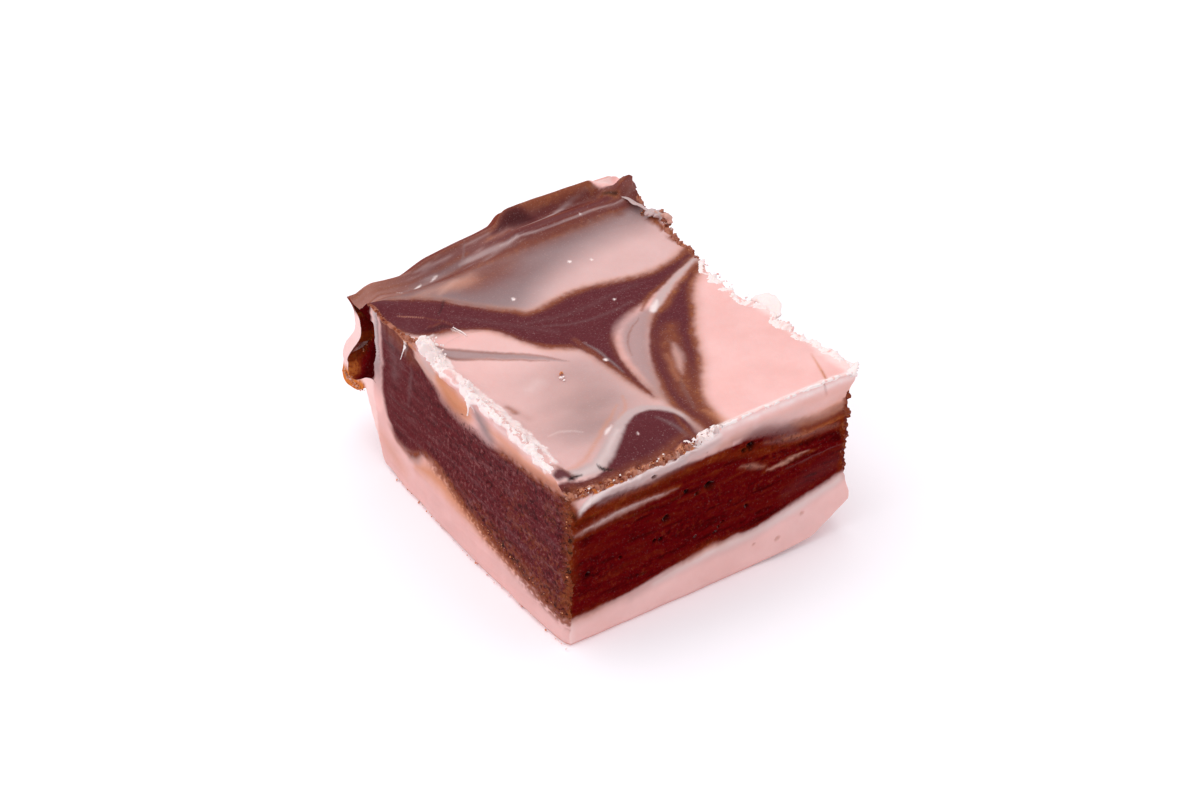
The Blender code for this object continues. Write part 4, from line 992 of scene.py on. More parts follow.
def side_b_tints(x, z):
    """The second cut face, torn rather than cut, matt and deep red."""
    s = fresh(x)
    q = x + 0.2 * cloud(x, 0, z, 1.8, 121)
    w = z + 0.14 * cloud(x * 0.6, 0, z, 1.4, 122) + 0.08 * noise(x, 0, z, 0.5, 123)
    body = region(COCOA_ON_B, q, w)
    lay(s, "grey", 0.08 + 0.08 * cloud(x / 2, 0, z, 4, 124))
    lay(s, "white", 0.14)
    brush(s, q, w, UNDER_ON_B)
    # The cocoa's edge, which is sharp below and blurred and warm at the upper right
    upper = z > 17
    blur = upper * (2.2 * ease(3, 8, x) * (1 - 0.5 * ease(18, 23, x))) + 0.5 * ease(8, 14, x)
    warm = np.where(upper, 0.8 * ease(13, 16, x) + 0.3 * (x < 3), 0.12
                    + 0.7 * bump(x, 0, -1, 0, 4.5, 1) + 0.4 * bump(x, 0, -22, 0, 5, 1))
    pour(s, body, 0.55 + blur, warm, np.where(upper, 0.5 * ease(3, 8, x), 0.35))
    # Long torn rows, warm where they stand up, with painted shade between
    rows = noise(x / 8, 0, z, 0.55, 125) + 0.5 * noise(x / 4, 0, z, 0.25, 126)
    in_cocoa = within(body - 0.4, 0.8)
    lay(s, "rust", in_cocoa * 0.50 * ease(0.0, 1.1, rows) * (0.40 + 0.60 * ease(16, 20, z)))
    lay(s, "painted_shade", in_cocoa * 0.50 * ease(0.1, 1.1, -rows))
    s["grain"] = in_cocoa * (0.25 + 0.45 * ease(-0.3, 0.5, noise(x / 3, 0, z, 2.2, 128)))
    brush(s, q, w, OVER_ON_B)
    # The crumbly brown shelf above the band: its tan crumbs and white flecks are partly painted
    # light, and the dark between them is painted shade
    shelf = ease(25.7, 26.2, w + 0.4 * cloud(x, 0, z, 1.0, 129) - 0.05 * np.maximum(x + 14, -3)) \
        * (1 - ease(-4.6, -2.4, x))
    lay(s, "rust", shelf * 0.95)
    crumb = grains(x, 0, z, 0.7, 130)
    lay(s, "tan", shelf * ease(0.35, 0.7, crumb) * 0.8)
    lay(s, "white", shelf * 0.7 * (noise(x, 0, z, 0.8, 131) > 0.45))
    lay(s, "painted_shade", shelf * 0.5 * (crumb < 0.1))
    # A white line of painted highlight along the rounded top edge
    ridge = bump(0, z, 0, 28.1, 1, 0.55) * ease(-2.5, 0, x)
    lay(s, "white", ridge * (0.6 + 0.4 * cloud(x, 0, z, 1.2, 132)))
    brush(s, x, z, (("rust", 0.55, 0.4, [(19.0, 29, 0.1), (19.4, 27.4, 0.08), (19.6, 26.6, 0.0)]),
                    ("white", 0.8, 0.7, [(-3.6, 28, 0.5), (-1.6, 28.2, 0.7), (0, 28.4, 0.3)])))
    # Pits: painted shade where they are in the cocoa, cream where they are in the pink
    for px, pz, r in PITS:
        hole = 1 - ease(0.55, 1.1, np.hypot(x - px, (z - pz) * 1.3) / r + 0.2 * rows)
        in_the_cocoa = pz > COCOA_FROM
        lay(s, "painted_shade" if in_the_cocoa else "cream", hole * (1.0 if in_the_cocoa else 0.5))
    # The crumbly corners: rust and toffee, with painted shade between the lumps
    corner = (1 - ease(-24.8, -23.7, x + 0.5 * cloud(x, 0, z, 0.9, 133))) * ease(4.8, 5.8, z)
    lay(s, "rust", corner * 0.9)
    lay(s, "painted_shade", corner * 0.5 * ease(0.1, 0.7, noise(x, 0, z, 0.6, 134)))
    lay(s, "white", 0.35 * (1 - ease(-25, -23.2, x)) * (1 - ease(3.6, 4.8, z)))
    patch = bump(x, z, -24.2, 22.4, 1.4, 3.2)
    lay(s, "rust", patch * (0.5 + 0.5 * crumb))
    lay(s, "painted_shade", 0.6 * patch * (crumb < 0.15))
    brush(s, q, w, (("rust", 0.9, 0.9, [(-25.2, 26.0, 1.0), (-24.4, 24.2, 1.1), (-23.4, 22.2, 0.5)]),
                    ("toffee", 0.75, 1.4, [(-25.4, 26.4, 1.0), (-23.8, 26.3, 0.7), (-22.0, 26.7, 0.3)]),
                    ("painted_shade", 0.7, 0.6, [(-24.6, 24.6, 0.15), (-23.8, 23.2, 0.35), (-23.4, 22.0, 0.1)])))
    end = ease(22.3, 23.4, x + 0.5 * cloud(x, 0, z, 1.0, 135)) * ease(11, 12, z) * (z < 25)
    lay(s, "rust", 0.75 * end)
    foot = 1 - ease(0.1, 0.5, z - 0.06 * np.maximum(x, 0) + 0.2 * cloud(x, 0, 0, 0.8, 136))
    lay(s, "tan", 0.12 * foot)
    s["cut"] = np.ones_like(x)
    return s


def plain_tints(x, y, z):
    """The far end, the tray side and the foot, which the photo view doesn't show."""
    s = fresh(x)
    zb = base_top(x, np.minimum(y, 20))
    top = top_z(x, y)
    dark = np.minimum(z - zb, top - top_thickness(x, np.minimum(y, run_out(x))) - z)
    dark = np.minimum(dark, (wall_y(z) - 1.9 - y) * 0.8) + 0.35 * cloud(x, y, z, 2.0, 141)
    lay(s, "grey", 0.12 + 0.22 * ease(-0.2, 0.8, cloud(x / 2, y, z, 6, 143)))
    lay(s, "tan", 0.10 + 0.25 * ease(0.1, 0.9, cloud(x, y / 2, z, 5, 144)))
    pour(s, dark, 0.6, 0.45 + 0.5 * cloud(x, y, z, 4, 145), 0.2)
    # Torn rows, warm on top, with painted shade between
    rows = noise(x / 8, y / 8, z, 0.55, 146) + 0.5 * noise(x / 4, y / 4, z, 0.25, 147)
    in_cocoa = within(dark - 0.4, 0.8)
    lay(s, "rust", in_cocoa * 0.35 * ease(0.1, 1.1, rows))
    lay(s, "painted_shade", in_cocoa * 0.40 * ease(0.2, 1.2, -rows))
    s["grain"] = 0.7 * in_cocoa
    wander = 17 + 2.4 * np.sin(y / 7.5) + cloud(x, y, 0, 5, 148)
    lay(s, "grey", 0.7 * in_cocoa * bump(0, z, 0, wander, 1, 0.4) * ease(-20, -14, y)
        * (1 - ease(8, 16, y)))
    near_lip = ease(-2.6, -0.6, z - lip(x) + 0.8 * cloud(x / 3, y, z, 2, 149)) * ease(24, 30, y)
    bare = ease(19.0, 19.8, x)
    lay(s, "brown", near_lip * (1 - bare))
    lay(s, "rust", 0.55 * near_lip * ease(0.5, 1.5, x) * (1 - bare))
    # Faint marks where the tray side was scraped clean
    scraped = noise(x / 9, y, z + 0.04 * x, 0.7, 150) * ease(25, 26, y)
    lay(s, "white", 0.30 * ease(0.1, 0.9, scraped))
    lay(s, "grey", 0.14 * ease(0.1, 0.9, -scraped))
    s["cut"] = np.ones_like(x)
    return s


def paint(piece, points, where, top_shows, is_base):
    """Store the masks on the piece as named values at its points."""
    x, y, z = points.T
    values = plain_tints(x, y, z)
    for chosen, tints in ((where["b"], lambda c: side_b_tints(x[c], z[c])),
                          (where["a"], lambda c: side_a_tints(y[c], z[c], is_base)),
                          (top_shows, lambda c: top_tints(x[c], y[c]))):
        found = tints(chosen)
        for m in MASKS:
            values[m][chosen] = found[m]
    if is_base:
        # The inside of the skin, bared where the fold is torn
        inner = where["high"] & (y > 28.3) & (x < -18)
        for m in LAYERS:
            values[m][inner] = {"rust": 0.40, "cocoa": 0.55}.get(m, 0.0)
    store(piece, values)


def store(piece, values):
    """Turn the weights into how far each paint covers those under it, and keep them."""
    above = np.zeros_like(values["deep"])
    for m in PLAIN + LAYERS[::-1]:
        share = values[m] if m in PLAIN else values[m] / np.maximum(1 - above, 1e-4)
        above = above + (0 if m in PLAIN else values[m])
        kept = piece.data.attributes.new(m, "FLOAT", "POINT")
        kept.data.foreach_set("value", np.clip(share, 0, 1).astype(np.float32))


# Loose bits: torn crumbs along the edges and a few thin flakes

# One crumb is an icosahedron with a radius of 1
GOLDEN = (1 + 5 ** 0.5) / 2
CRUMB_POINTS = np.array([(-1, GOLDEN, 0), (1, GOLDEN, 0), (-1, -GOLDEN, 0), (1, -GOLDEN, 0),
                         (0, -1, GOLDEN), (0, 1, GOLDEN), (0, -1, -GOLDEN), (0, 1, -GOLDEN),
                         (GOLDEN, 0, -1), (GOLDEN, 0, 1), (-GOLDEN, 0, -1), (-GOLDEN, 0, 1)]) / 1.9
CRUMB_FACES = np.array([(0, 11, 5), (0, 5, 1), (0, 1, 7), (0, 7, 10), (0, 10, 11), (1, 5, 9),
                        (5, 11, 4), (11, 10, 2), (10, 7, 6), (7, 1, 8), (3, 9, 4), (3, 4, 2),
                        (3, 2, 6), (3, 6, 8), (3, 8, 9), (4, 9, 5), (2, 4, 11), (6, 2, 10),
                        (8, 6, 7), (9, 8, 1)])


def along_a(y, into=0.5, drop=0.0):
    """A place on the first cut's top edge."""
    return (float(cut_a(y, 28.0)) + into, y, float(top_z(-24.4, y)) - drop)


def edge_path(find, values):
    """The places that a rule finds along an edge."""
    return [find(float(v)) for v in values]


# Each bed of crumbs: how many, size in mm, spread in mm, its paints, and the line it lies along
BEDS = (
    (60, 0.24, (0.55, 0.5, 0.22), ("white", "white", "white"),
     edge_path(lambda y: along_a(y, 0.9, 0.15), np.linspace(13, -20, 12))),
    (30, 0.30, (0.75, 1.1, 0.25), ("white", "white", "white"),
     edge_path(lambda y: along_a(y, 1.8, 0.1), np.linspace(12.6, 8.2, 4))),
    (90, 0.2, (0.22, 0.4, 0.22), ("rust", "tan", "rust", "cocoa"),
     edge_path(lambda y: along_a(y, 0.25, 0.2), np.linspace(29.5, 13.5, 8))),
    (60, 0.2, (0.30, 0.30, 0.6), ("rust", "tan", "rust", "cocoa"),
     [(-24.3, -24.4, 5.4), (-24.3, -24.4, 15), (-24.2, -24.3, 25.6)]),
    (110, 0.2, (0.5, 0.30, 0.35), ("rust", "tan", "rust", "white", "cocoa"),
     [(-24, -24.9, 26.9), (-17, -24.9, 26.5), (-10, -24.9, 26.7), (-3.2, -24.9, 27.6)]),
    (30, 0.28, (0.9, 0.35, 0.35), ("white", "white", "pink"),
     [(-4.2, -24.9, 27.7), (-1.6, -24.9, 28.3), (0.6, -24.9, 28.5)]),
    (40, 0.13, (0.5, 0.25, 0.15), ("white", "pink"),
     [(0, -24.9, 28.5), (10, -24.9, 28.7), (23, -24.9, 28.7)]),
    (40, 0.26, (0.3, 0.9, 0.3), ("pink", "white", "white"),
     [(24.7, -23, 28.0), (24.0, -12, 28.1), (24.4, -5, 28.2), (23.9, 4, 28.1), (24.3, 12, 28.1)]),
    (50, 0.24, (0.25, 0.8, 0.25), ("rust", "rose", "rust", "tan"),
     [(24.2, 13.5, 28.2), (24.7, 21, 28.4), (24.0, 30, 28.9)]),
    (30, 0.42, (0.35, 1.1, 0.35), ("pale", "rose", "rust", "white"),
     [(25.0, 22.4, 29.0), (25.2, 25, 29.6), (24.6, 27.4, 29.2)]),
    (60, 0.26, (0.25, 0.25, 0.8), ("rust", "cocoa", "rust"),
     [(23.6, -24.6, 12.4), (23.4, -24.6, 17), (23.5, -24.6, 22.6)]),
    (150, 0.26, (0.25, 0.9, 0.4), ("tan", "toffee", "toffee", "cream"),
     [(-24.9, 33.6, 11.3), (-24.9, 36.4, 10.9), (-24.9, 38.2, 11.6)]),
    (60, 0.20, (0.15, 0.8, 1.4), ("rust", "cocoa", "toffee"),
     [(-23.2, 36.8, 13.6), (-23.0, 35.2, 16.4), (-22.8, 33.4, 20)]),
    (110, 0.17, (0.12, 1.0, 0.35), ("rust", "tan", "rust"),
     [(-25.8, -4, 9.0), (-25.5, -14, 7.4), (-25.2, -24, 6.0)]),
    (60, 0.22, (0.15, 1.5, 0.15), ("pink", "tan", "white"),
     [(-25.2, -24, 0.3), (-25.9, 0, 0.3), (-25.0, 24, 0.3)]),
    (6, 0.45, (0.45, 0.5, 0.1), ("tan", "cream", "white"),
     [(-11.4, -2.8, 28.5), (-10.4, -1.6, 28.5)]),
)


def crumb_bits(rng):
    """Every crumb: an uneven lump of twenty faces, squashed and turned at random."""
    places, scales, paints = [], [], []
    for count, size, spread, choice, path in BEDS:
        path = np.array(path)
        at = rng.uniform(0, len(path) - 1, count)
        k = np.minimum(at.astype(int), len(path) - 2)
        along = path[k] + (path[k + 1] - path[k]) * (at - k)[:, None]
        places.append(along + rng.normal(0, 1, (count, 3)) * np.array(spread) * 0.6)
        scales.append(size * rng.uniform(0.45, 1.25, count)[:, None]
                      * rng.uniform(0.45, 1.0, (count, 3)))
        paints += [choice[i] for i in rng.integers(0, len(choice), count)]
    places, scales = np.concatenate(places), np.concatenate(scales)
    n = len(places)
    q = rng.normal(0, 1, (n, 4))
    w, x, y, z = (q / np.linalg.norm(q, axis=1)[:, None]).T
    turn = np.stack([1 - 2 * (y * y + z * z), 2 * (x * y - z * w), 2 * (x * z + y * w),
                     2 * (x * y + z * w), 1 - 2 * (x * x + z * z), 2 * (y * z - x * w),
                     2 * (x * z - y * w), 2 * (y * z + x * w), 1 - 2 * (x * x + y * y)], -1)
    lumps = CRUMB_POINTS[None] * rng.uniform(0.65, 1.15, (n, 12, 1)) * scales[:, None]
    points = np.einsum("nij,nkj->nki", turn.reshape(n, 3, 3), lumps) + places[:, None]
    points[..., 2] = np.maximum(points[..., 2], 0.03)
    faces = CRUMB_FACES[None] + 12 * np.arange(n)[:, None, None]
    return points.reshape(-1, 3), faces.reshape(-1, 3).tolist(), np.repeat(paints, 12)


# Thin flakes: paint, thickness, raggedness, the way it faces, and its line of (x, y, z, half width)
FLAKES = (
    ("pale", 0.35, 0.5, (0.45, 0, 0.9), [(22.9, 34.3, 30.4, 0.4), (23.2, 31.8, 30.4, 0.9),
                                          (23.8, 29.4, 30.0, 1.0), (24.4, 27.4, 29.8, 0.7),
                                          (24.6, 26.0, 29.6, 0.4)]),
    ("pale", 0.80, 0.8, (0.2, -0.5, 0.85), [(24.2, 27.2, 29.4, 0.5), (24.6, 26.0, 30.0, 1.0),
                                            (24.9, 24.8, 30.1, 0.7), (24.8, 24.0, 29.6, 0.3)]),
    ("cream", 0.90, 0.9, (0.5, -0.5, 0.7), [(24.9, 25.0, 29.2, 0.5), (25.4, 24.2, 30.1, 1.0),
                                            (25.6, 23.2, 30.4, 0.9), (25.4, 22.4, 29.4, 0.4)]),
    ("rust", 0.60, 0.9, (0.7, -0.3, 0.5), [(25.2, 25.8, 29.0, 0.4), (25.7, 24.4, 29.4, 0.6),
                                           (25.6, 22.8, 29.0, 0.4)]),
    ("white", 0.45, 0.25, (0.65, -0.3, -0.7), [(24.3, -0.4, 28.0, 0.3), (24.8, -1.8, 28.8, 0.9),
                                               (25.1, -3.4, 29.2, 1.3), (25.1, -5.0, 29.1, 1.2),
                                               (24.6, -6.8, 28.2, 0.7)]),
    ("white", 0.50, 0.5, (0.3, 0.3, 0.9), [(23.6, -24.7, 28.3, 0.6), (25.0, -24.2, 28.5, 0.9),
                                           (26.0, -23.6, 28.6, 0.6), (26.6, -23.2, 28.5, 0.1)]),
    ("white", 0.30, 0.5, (-1, 0, 0.1), [(-25.4, -1.0, 30.0, 1.0), (-26.0, -1.2, 28.8, 0.4),
                                        (-26.1, -1.3, 27.0, 0.04)]),
    ("white", 0.14, 0.5, (-1, 0, 0.1), [(-25.5, 17.3, 28.3, 0.25), (-25.7, 17.8, 26.9, 0.10),
                                        (-25.7, 18.5, 25.3, 0.03)]),
    ("brown", 0.60, 0.3, (0.3, -0.7, 0.6), [(22.3, 33.4, 30.6, 0.3), (23.4, 34.2, 31.2, 0.6),
                                            (24.9, 34.6, 31.6, 0.7), (25.8, 34.2, 31.2, 0.6),
                                            (26.0, 33.2, 30.2, 0.4)]),
    # A thin rust sheet lying under the curl: painted shadow
    ("rust", 0.20, 0.3, (-0.3, -0.8, 0.5), [(23.0, 33.1, 30.6, 0.2), (24.2, 33.2, 31.0, 0.4),
                                            (25.1, 32.9, 30.6, 0.3)]),
    ("white", 0.10, 0.4, (0, 0, 1), [(-17.6, 16.8, 28.9, 0.10), (-17.2, 15.4, 28.9, 0.14),
                                     (-17.0, 13.8, 28.8, 0.03)]),
)


def flake_bits(steps=22, across=5):
    """Every flake: a thin bent strip with a ragged edge, closed all round."""
    points, faces, paints = [], [], []
    for number, (paint_name, thick, rough, facing, path) in enumerate(FLAKES):
        path = rounded(path, False)
        t = np.linspace(0, len(path) - 1, steps)
        line_of = np.stack([np.interp(t, np.arange(len(path)), path[:, c]) for c in range(4)], -1)
        centre, half = line_of[:, :3], line_of[:, 3]
        ahead = np.gradient(centre, axis=0)
        side = np.cross(ahead, np.array(facing, float))
        side /= np.linalg.norm(side, axis=1)[:, None]
        ragged = 1 + rough * (noise(t, 0, number, 1.1, 151) + 0.6 * noise(t, 0, number, 0.5, 152))
        v = np.linspace(-1, 1, across)
        spot = centre[:, None] + side[:, None] * (half * ragged)[:, None, None] * v[None, :, None]
        normal = np.cross(side, ahead)
        normal /= np.linalg.norm(normal, axis=1)[:, None]
        wave = 0.18 * noise(spot[..., 0], spot[..., 1], spot[..., 2], 0.9, 153 + number)
        edge = 1 - 0.75 * v[None] ** 2
        lift = 0.5 * thick * edge
        front = spot + normal[:, None] * (wave + lift)[..., None]
        back = spot + normal[:, None] * (wave - lift)[..., None]
        start = sum(len(p) for p in points)
        points.append(np.concatenate([front.reshape(-1, 3), back.reshape(-1, 3)]))
        paints += [paint_name] * (2 * steps * across)
        half_count = steps * across
        for i in range(steps - 1):
            for j in range(across - 1):
                a, b = start + i * across + j, start + (i + 1) * across + j
                faces.append((a, b, b + 1, a + 1))
                faces.append((a + half_count, a + 1 + half_count, b + 1 + half_count,
                              b + half_count))
            for j, flip in ((0, False), (across - 1, True)):
                a, b = start + i * across + j, start + (i + 1) * across + j
                quad = (a, a + half_count, b + half_count, b)
                faces.append(quad[::-1] if flip else quad)
        for i, flip in ((0, True), (steps - 1, False)):
            for j in range(across - 1):
                a = start + i * across + j
                quad = (a, a + half_count, a + 1 + half_count, a + 1)
                faces.append(quad[::-1] if flip else quad)
    return np.concatenate(points), faces, np.array(paints)


# Torn edges: strips of fine ragged relief that wrap a cut edge and sink under it on both sides.
# Each rule places points at s along the edge and d across it, d above 0 on the second face.

def over_a(s, d):
    into, down = np.maximum(-d, 0), np.maximum(d, 0)
    z = top_z(-25.0 + into, s) - down
    return np.stack([cut_a(s, z) + into, s, z], -1)


def over_b(s, d):
    into, down = np.maximum(-d, 0), np.maximum(d, 0)
    z = top_z(s, -25.0 + into) - down
    return np.stack([s, cut_b(s, z) + into, z], -1)


def over_d(s, d):
    into, down = np.maximum(-d, 0), np.maximum(d, 0)
    z = top_z(25.0 - into, s) - down
    return np.stack([cut_d(s, z) - into, s, z], -1)


def over_corner(s, d):
    on_a, on_b = np.maximum(-d, 0), np.maximum(d, 0)
    return np.stack([cut_a(-25 + on_a, s) + on_b, cut_b(-25 + on_b, s) + on_a, s], -1)


def over_far_corner(s, d):
    on_d, on_b = np.maximum(-d, 0), np.maximum(d, 0)
    return np.stack([cut_d(-25 + on_d, s) - on_b, cut_b(25 - on_b, s) + on_d, s], -1)


UP, LEFT, FRONT, RIGHT = (0, 0, 1), (-1, 0, 0), (0, -1, 0), (1, 0, 0)
# place, the two ways it faces, reach over each face, crumb size, paints (low, high, flecks),
# then the (position, height) profile along the edge
TORN = (
    (over_a, UP, LEFT, (1.3, 0.6), 0.85, ("white", "white", "white"),
     [(-21.6, 0.15), (-18, 0.30), (-14, 0.50), (-9, 0.25), (-4, 0.35), (-1, 0.35), (1, 0.85),
      (2.8, 0.15)]),
    (over_a, UP, LEFT, (2.0, 0.8), 0.95, ("white", "white", "white"),
     [(6.8, 0.1), (8.4, 0.6), (10.5, 1.3), (12.6, 0.9), (14.6, 0.3)]),
    (over_a, UP, LEFT, (0.7, 0.8), 0.55, ("rust", "toffee", "rust"),
     [(13.4, 0.25), (18, 0.40), (24, 0.32), (29.6, 0.25)]),
    (over_b, UP, FRONT, (0.9, 0.6), 0.6, ("rust", "toffee", "cream"),
     [(-24.8, 0.25), (-20, 0.40), (-12, 0.45), (-5, 0.42), (-2.4, 0.2)]),
    (over_b, UP, FRONT, (1.4, 0.7), 0.9, ("white", "white", "pale"),
     [(-5.0, 0.1), (-3.0, 0.65), (-0.6, 0.65), (1.4, 0.2)]),
    # The smooth ridge: its white is partly a painted highlight
    (over_b, UP, FRONT, (0.6, 0.6), 1.3, ("white", "white", "pink"),
     [(0.2, 0.12), (10, 0.12), (20, 0.16), (25.2, 0.35)]),
    (over_d, UP, RIGHT, (1.5, 1.1), 1.2, ("white", "white", "pink"),
     [(-24, 0.5), (-18, 0.32), (-9, 0.6), (-6, 0.4), (4, 0.4), (12.4, 0.35)]),
    (over_d, UP, RIGHT, (0.8, 1.0), 0.7, ("rust", "toffee", "cocoa"),
     [(12.8, 0.3), (18, 0.40), (25, 0.5), (31, 0.3)]),
    # Flecks of painted shade on the front corner
    (over_corner, LEFT, FRONT, (0.7, 0.9), 0.5, ("rust", "rust", "painted_shade"),
     [(4.6, 0.15), (8, 0.26), (20, 0.30), (26.4, 0.3)]),
    (over_far_corner, RIGHT, FRONT, (0.7, 0.8), 1.0, ("cocoa", "rust", "cocoa"),
     [(11.2, 0.1), (13, 0.28), (24.6, 0.32), (26, 0.1)]),
)


def torn_edges(cell=0.12):
    """Every torn strip, as one grid each: its points, faces, paint weights and place in the UV."""
    points, faces, uvs, kept = [], [], [], {m: [] for m in LAYERS}
    start = 0
    for number, (place, first, second, reach, crumb, paints, profile) in enumerate(TORN):
        lo, hi = profile[0][0], profile[-1][0]
        ns, nd = int((hi - lo) / cell), int((reach[0] + reach[1]) / cell)
        s, d = np.meshgrid(np.linspace(lo, hi, ns + 1), np.linspace(-reach[0], reach[1], nd + 1),
                           indexing="ij")
        spot = place(s, d)
        out = mix(np.array(first, float), np.array(second, float), ease(-0.3, 0.3, d)[..., None])
        out /= np.linalg.norm(out, axis=-1)[..., None]
        across = np.where(d < 0, d / reach[0], d / reach[1])
        body = np.exp(-(across / 0.62) ** 2) * ease(0, 0.6, s - lo) * ease(0, 0.6, hi - s)
        shred = cloud(s, d, number, crumb, 161, 5) + 0.5 * noise(s, d, number, crumb / 4, 162)
        height = line(profile)(s) * body * np.clip(0.45 + 1.3 * shred, -0.2, 1.7) \
            - 0.10 * np.abs(across)
        points.append((spot + out * height[..., None]).reshape(-1, 3))
        state = fresh(s)
        # The high paint on the raised shreds and the low one between are partly painted light and shade
        lay(state, paints[0], 1.0)
        lay(state, paints[1], ease(-0.25, 0.45, shred))
        lay(state, paints[2], 0.8 * ease(0.2, 0.6, noise(s, d, number, 0.45, 163)))
        for m in LAYERS:
            kept[m].append(state[m].ravel())
        i, j = (q.ravel() for q in np.meshgrid(np.arange(ns), np.arange(nd), indexing="ij"))
        a = start + i * (nd + 1) + j
        quad = np.stack([a, a + nd + 1, a + nd + 2, a + 1], -1)
        turn = np.cross(spot[1, 0] - spot[0, 0], spot[0, 1] - spot[0, 0]) @ out[0, 0]
        faces += (quad if turn > 0 else quad[:, ::-1]).tolist()
        start += (ns + 1) * (nd + 1)
        uvs.append(np.stack([0.01 + 0.98 * (s - lo) / (hi - lo),
                             (number + 0.05 + 0.9 * (across + 1) / 2) / len(TORN)],
                            -1).reshape(-1, 2))
    values = {m: np.concatenate(kept[m]) for m in LAYERS}
    return np.concatenate(points), faces, values, np.concatenate(uvs)


def loose(name, points, faces, values, cut, smooth, uvs=None):
    """A piece of loose bits, painted by its points and held on the fudge."""
    mesh = bpy.data.meshes.new(name)
    mesh.from_pydata((points * MM).tolist(), [], faces)
    piece = bpy.data.objects.new(name, mesh)
    bpy.context.scene.collection.objects.link(piece)
    store(piece, {**values, "cut": np.full(len(points), cut), "grain": np.zeros(len(points))})
    if uvs is not None:
        corners = np.zeros(len(mesh.loops), np.int32)
        mesh.loops.foreach_get("vertex_index", corners)
        uv = mesh.uv_layers.new(name="OFBake")
        uv.data.foreach_set("uv", uvs[corners].astype(np.float32).ravel())
    if smooth:
        mesh.shade_smooth()
    piece.data.materials.append(material)
    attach(piece, "root")


def weights(paints):
    """The weight of every layer of paint at points that each have one named paint."""
    return {m: np.array([PAINTS[p].get(m, 0.0) for p in paints]) for m in LAYERS}


# Materials. Each function is named for what the real thing is made of.

def colour(code):
    """sRGB hex to the linear colour a shader takes."""
    parts = [int(code[k:k + 2], 16) / 255 for k in (1, 3, 5)]
    return tuple(c / 12.92 if c <= 0.04045 else ((c + 0.055) / 1.055) ** 2.4
                 for c in parts) + (1.0,)


def add(tree, kind, links=(), **settings):
    """Add a node with its settings. links maps an input to a socket or to a plain value."""
    node = tree.nodes.new(kind)
    for key, value in settings.items():
        setattr(node, key, value)
    for name, source in dict(links).items():
        if isinstance(source, bpy.types.NodeSocket):
            tree.links.new(source, node.inputs[name])
        else:
            node.inputs[name].default_value = source
    return node


def blank(name):
    """A material with nothing in it yet, and its tree of nodes."""
    material = bpy.data.materials.new(name)
    material.use_nodes = True
    material.node_tree.nodes.clear()
    return material, material.node_tree


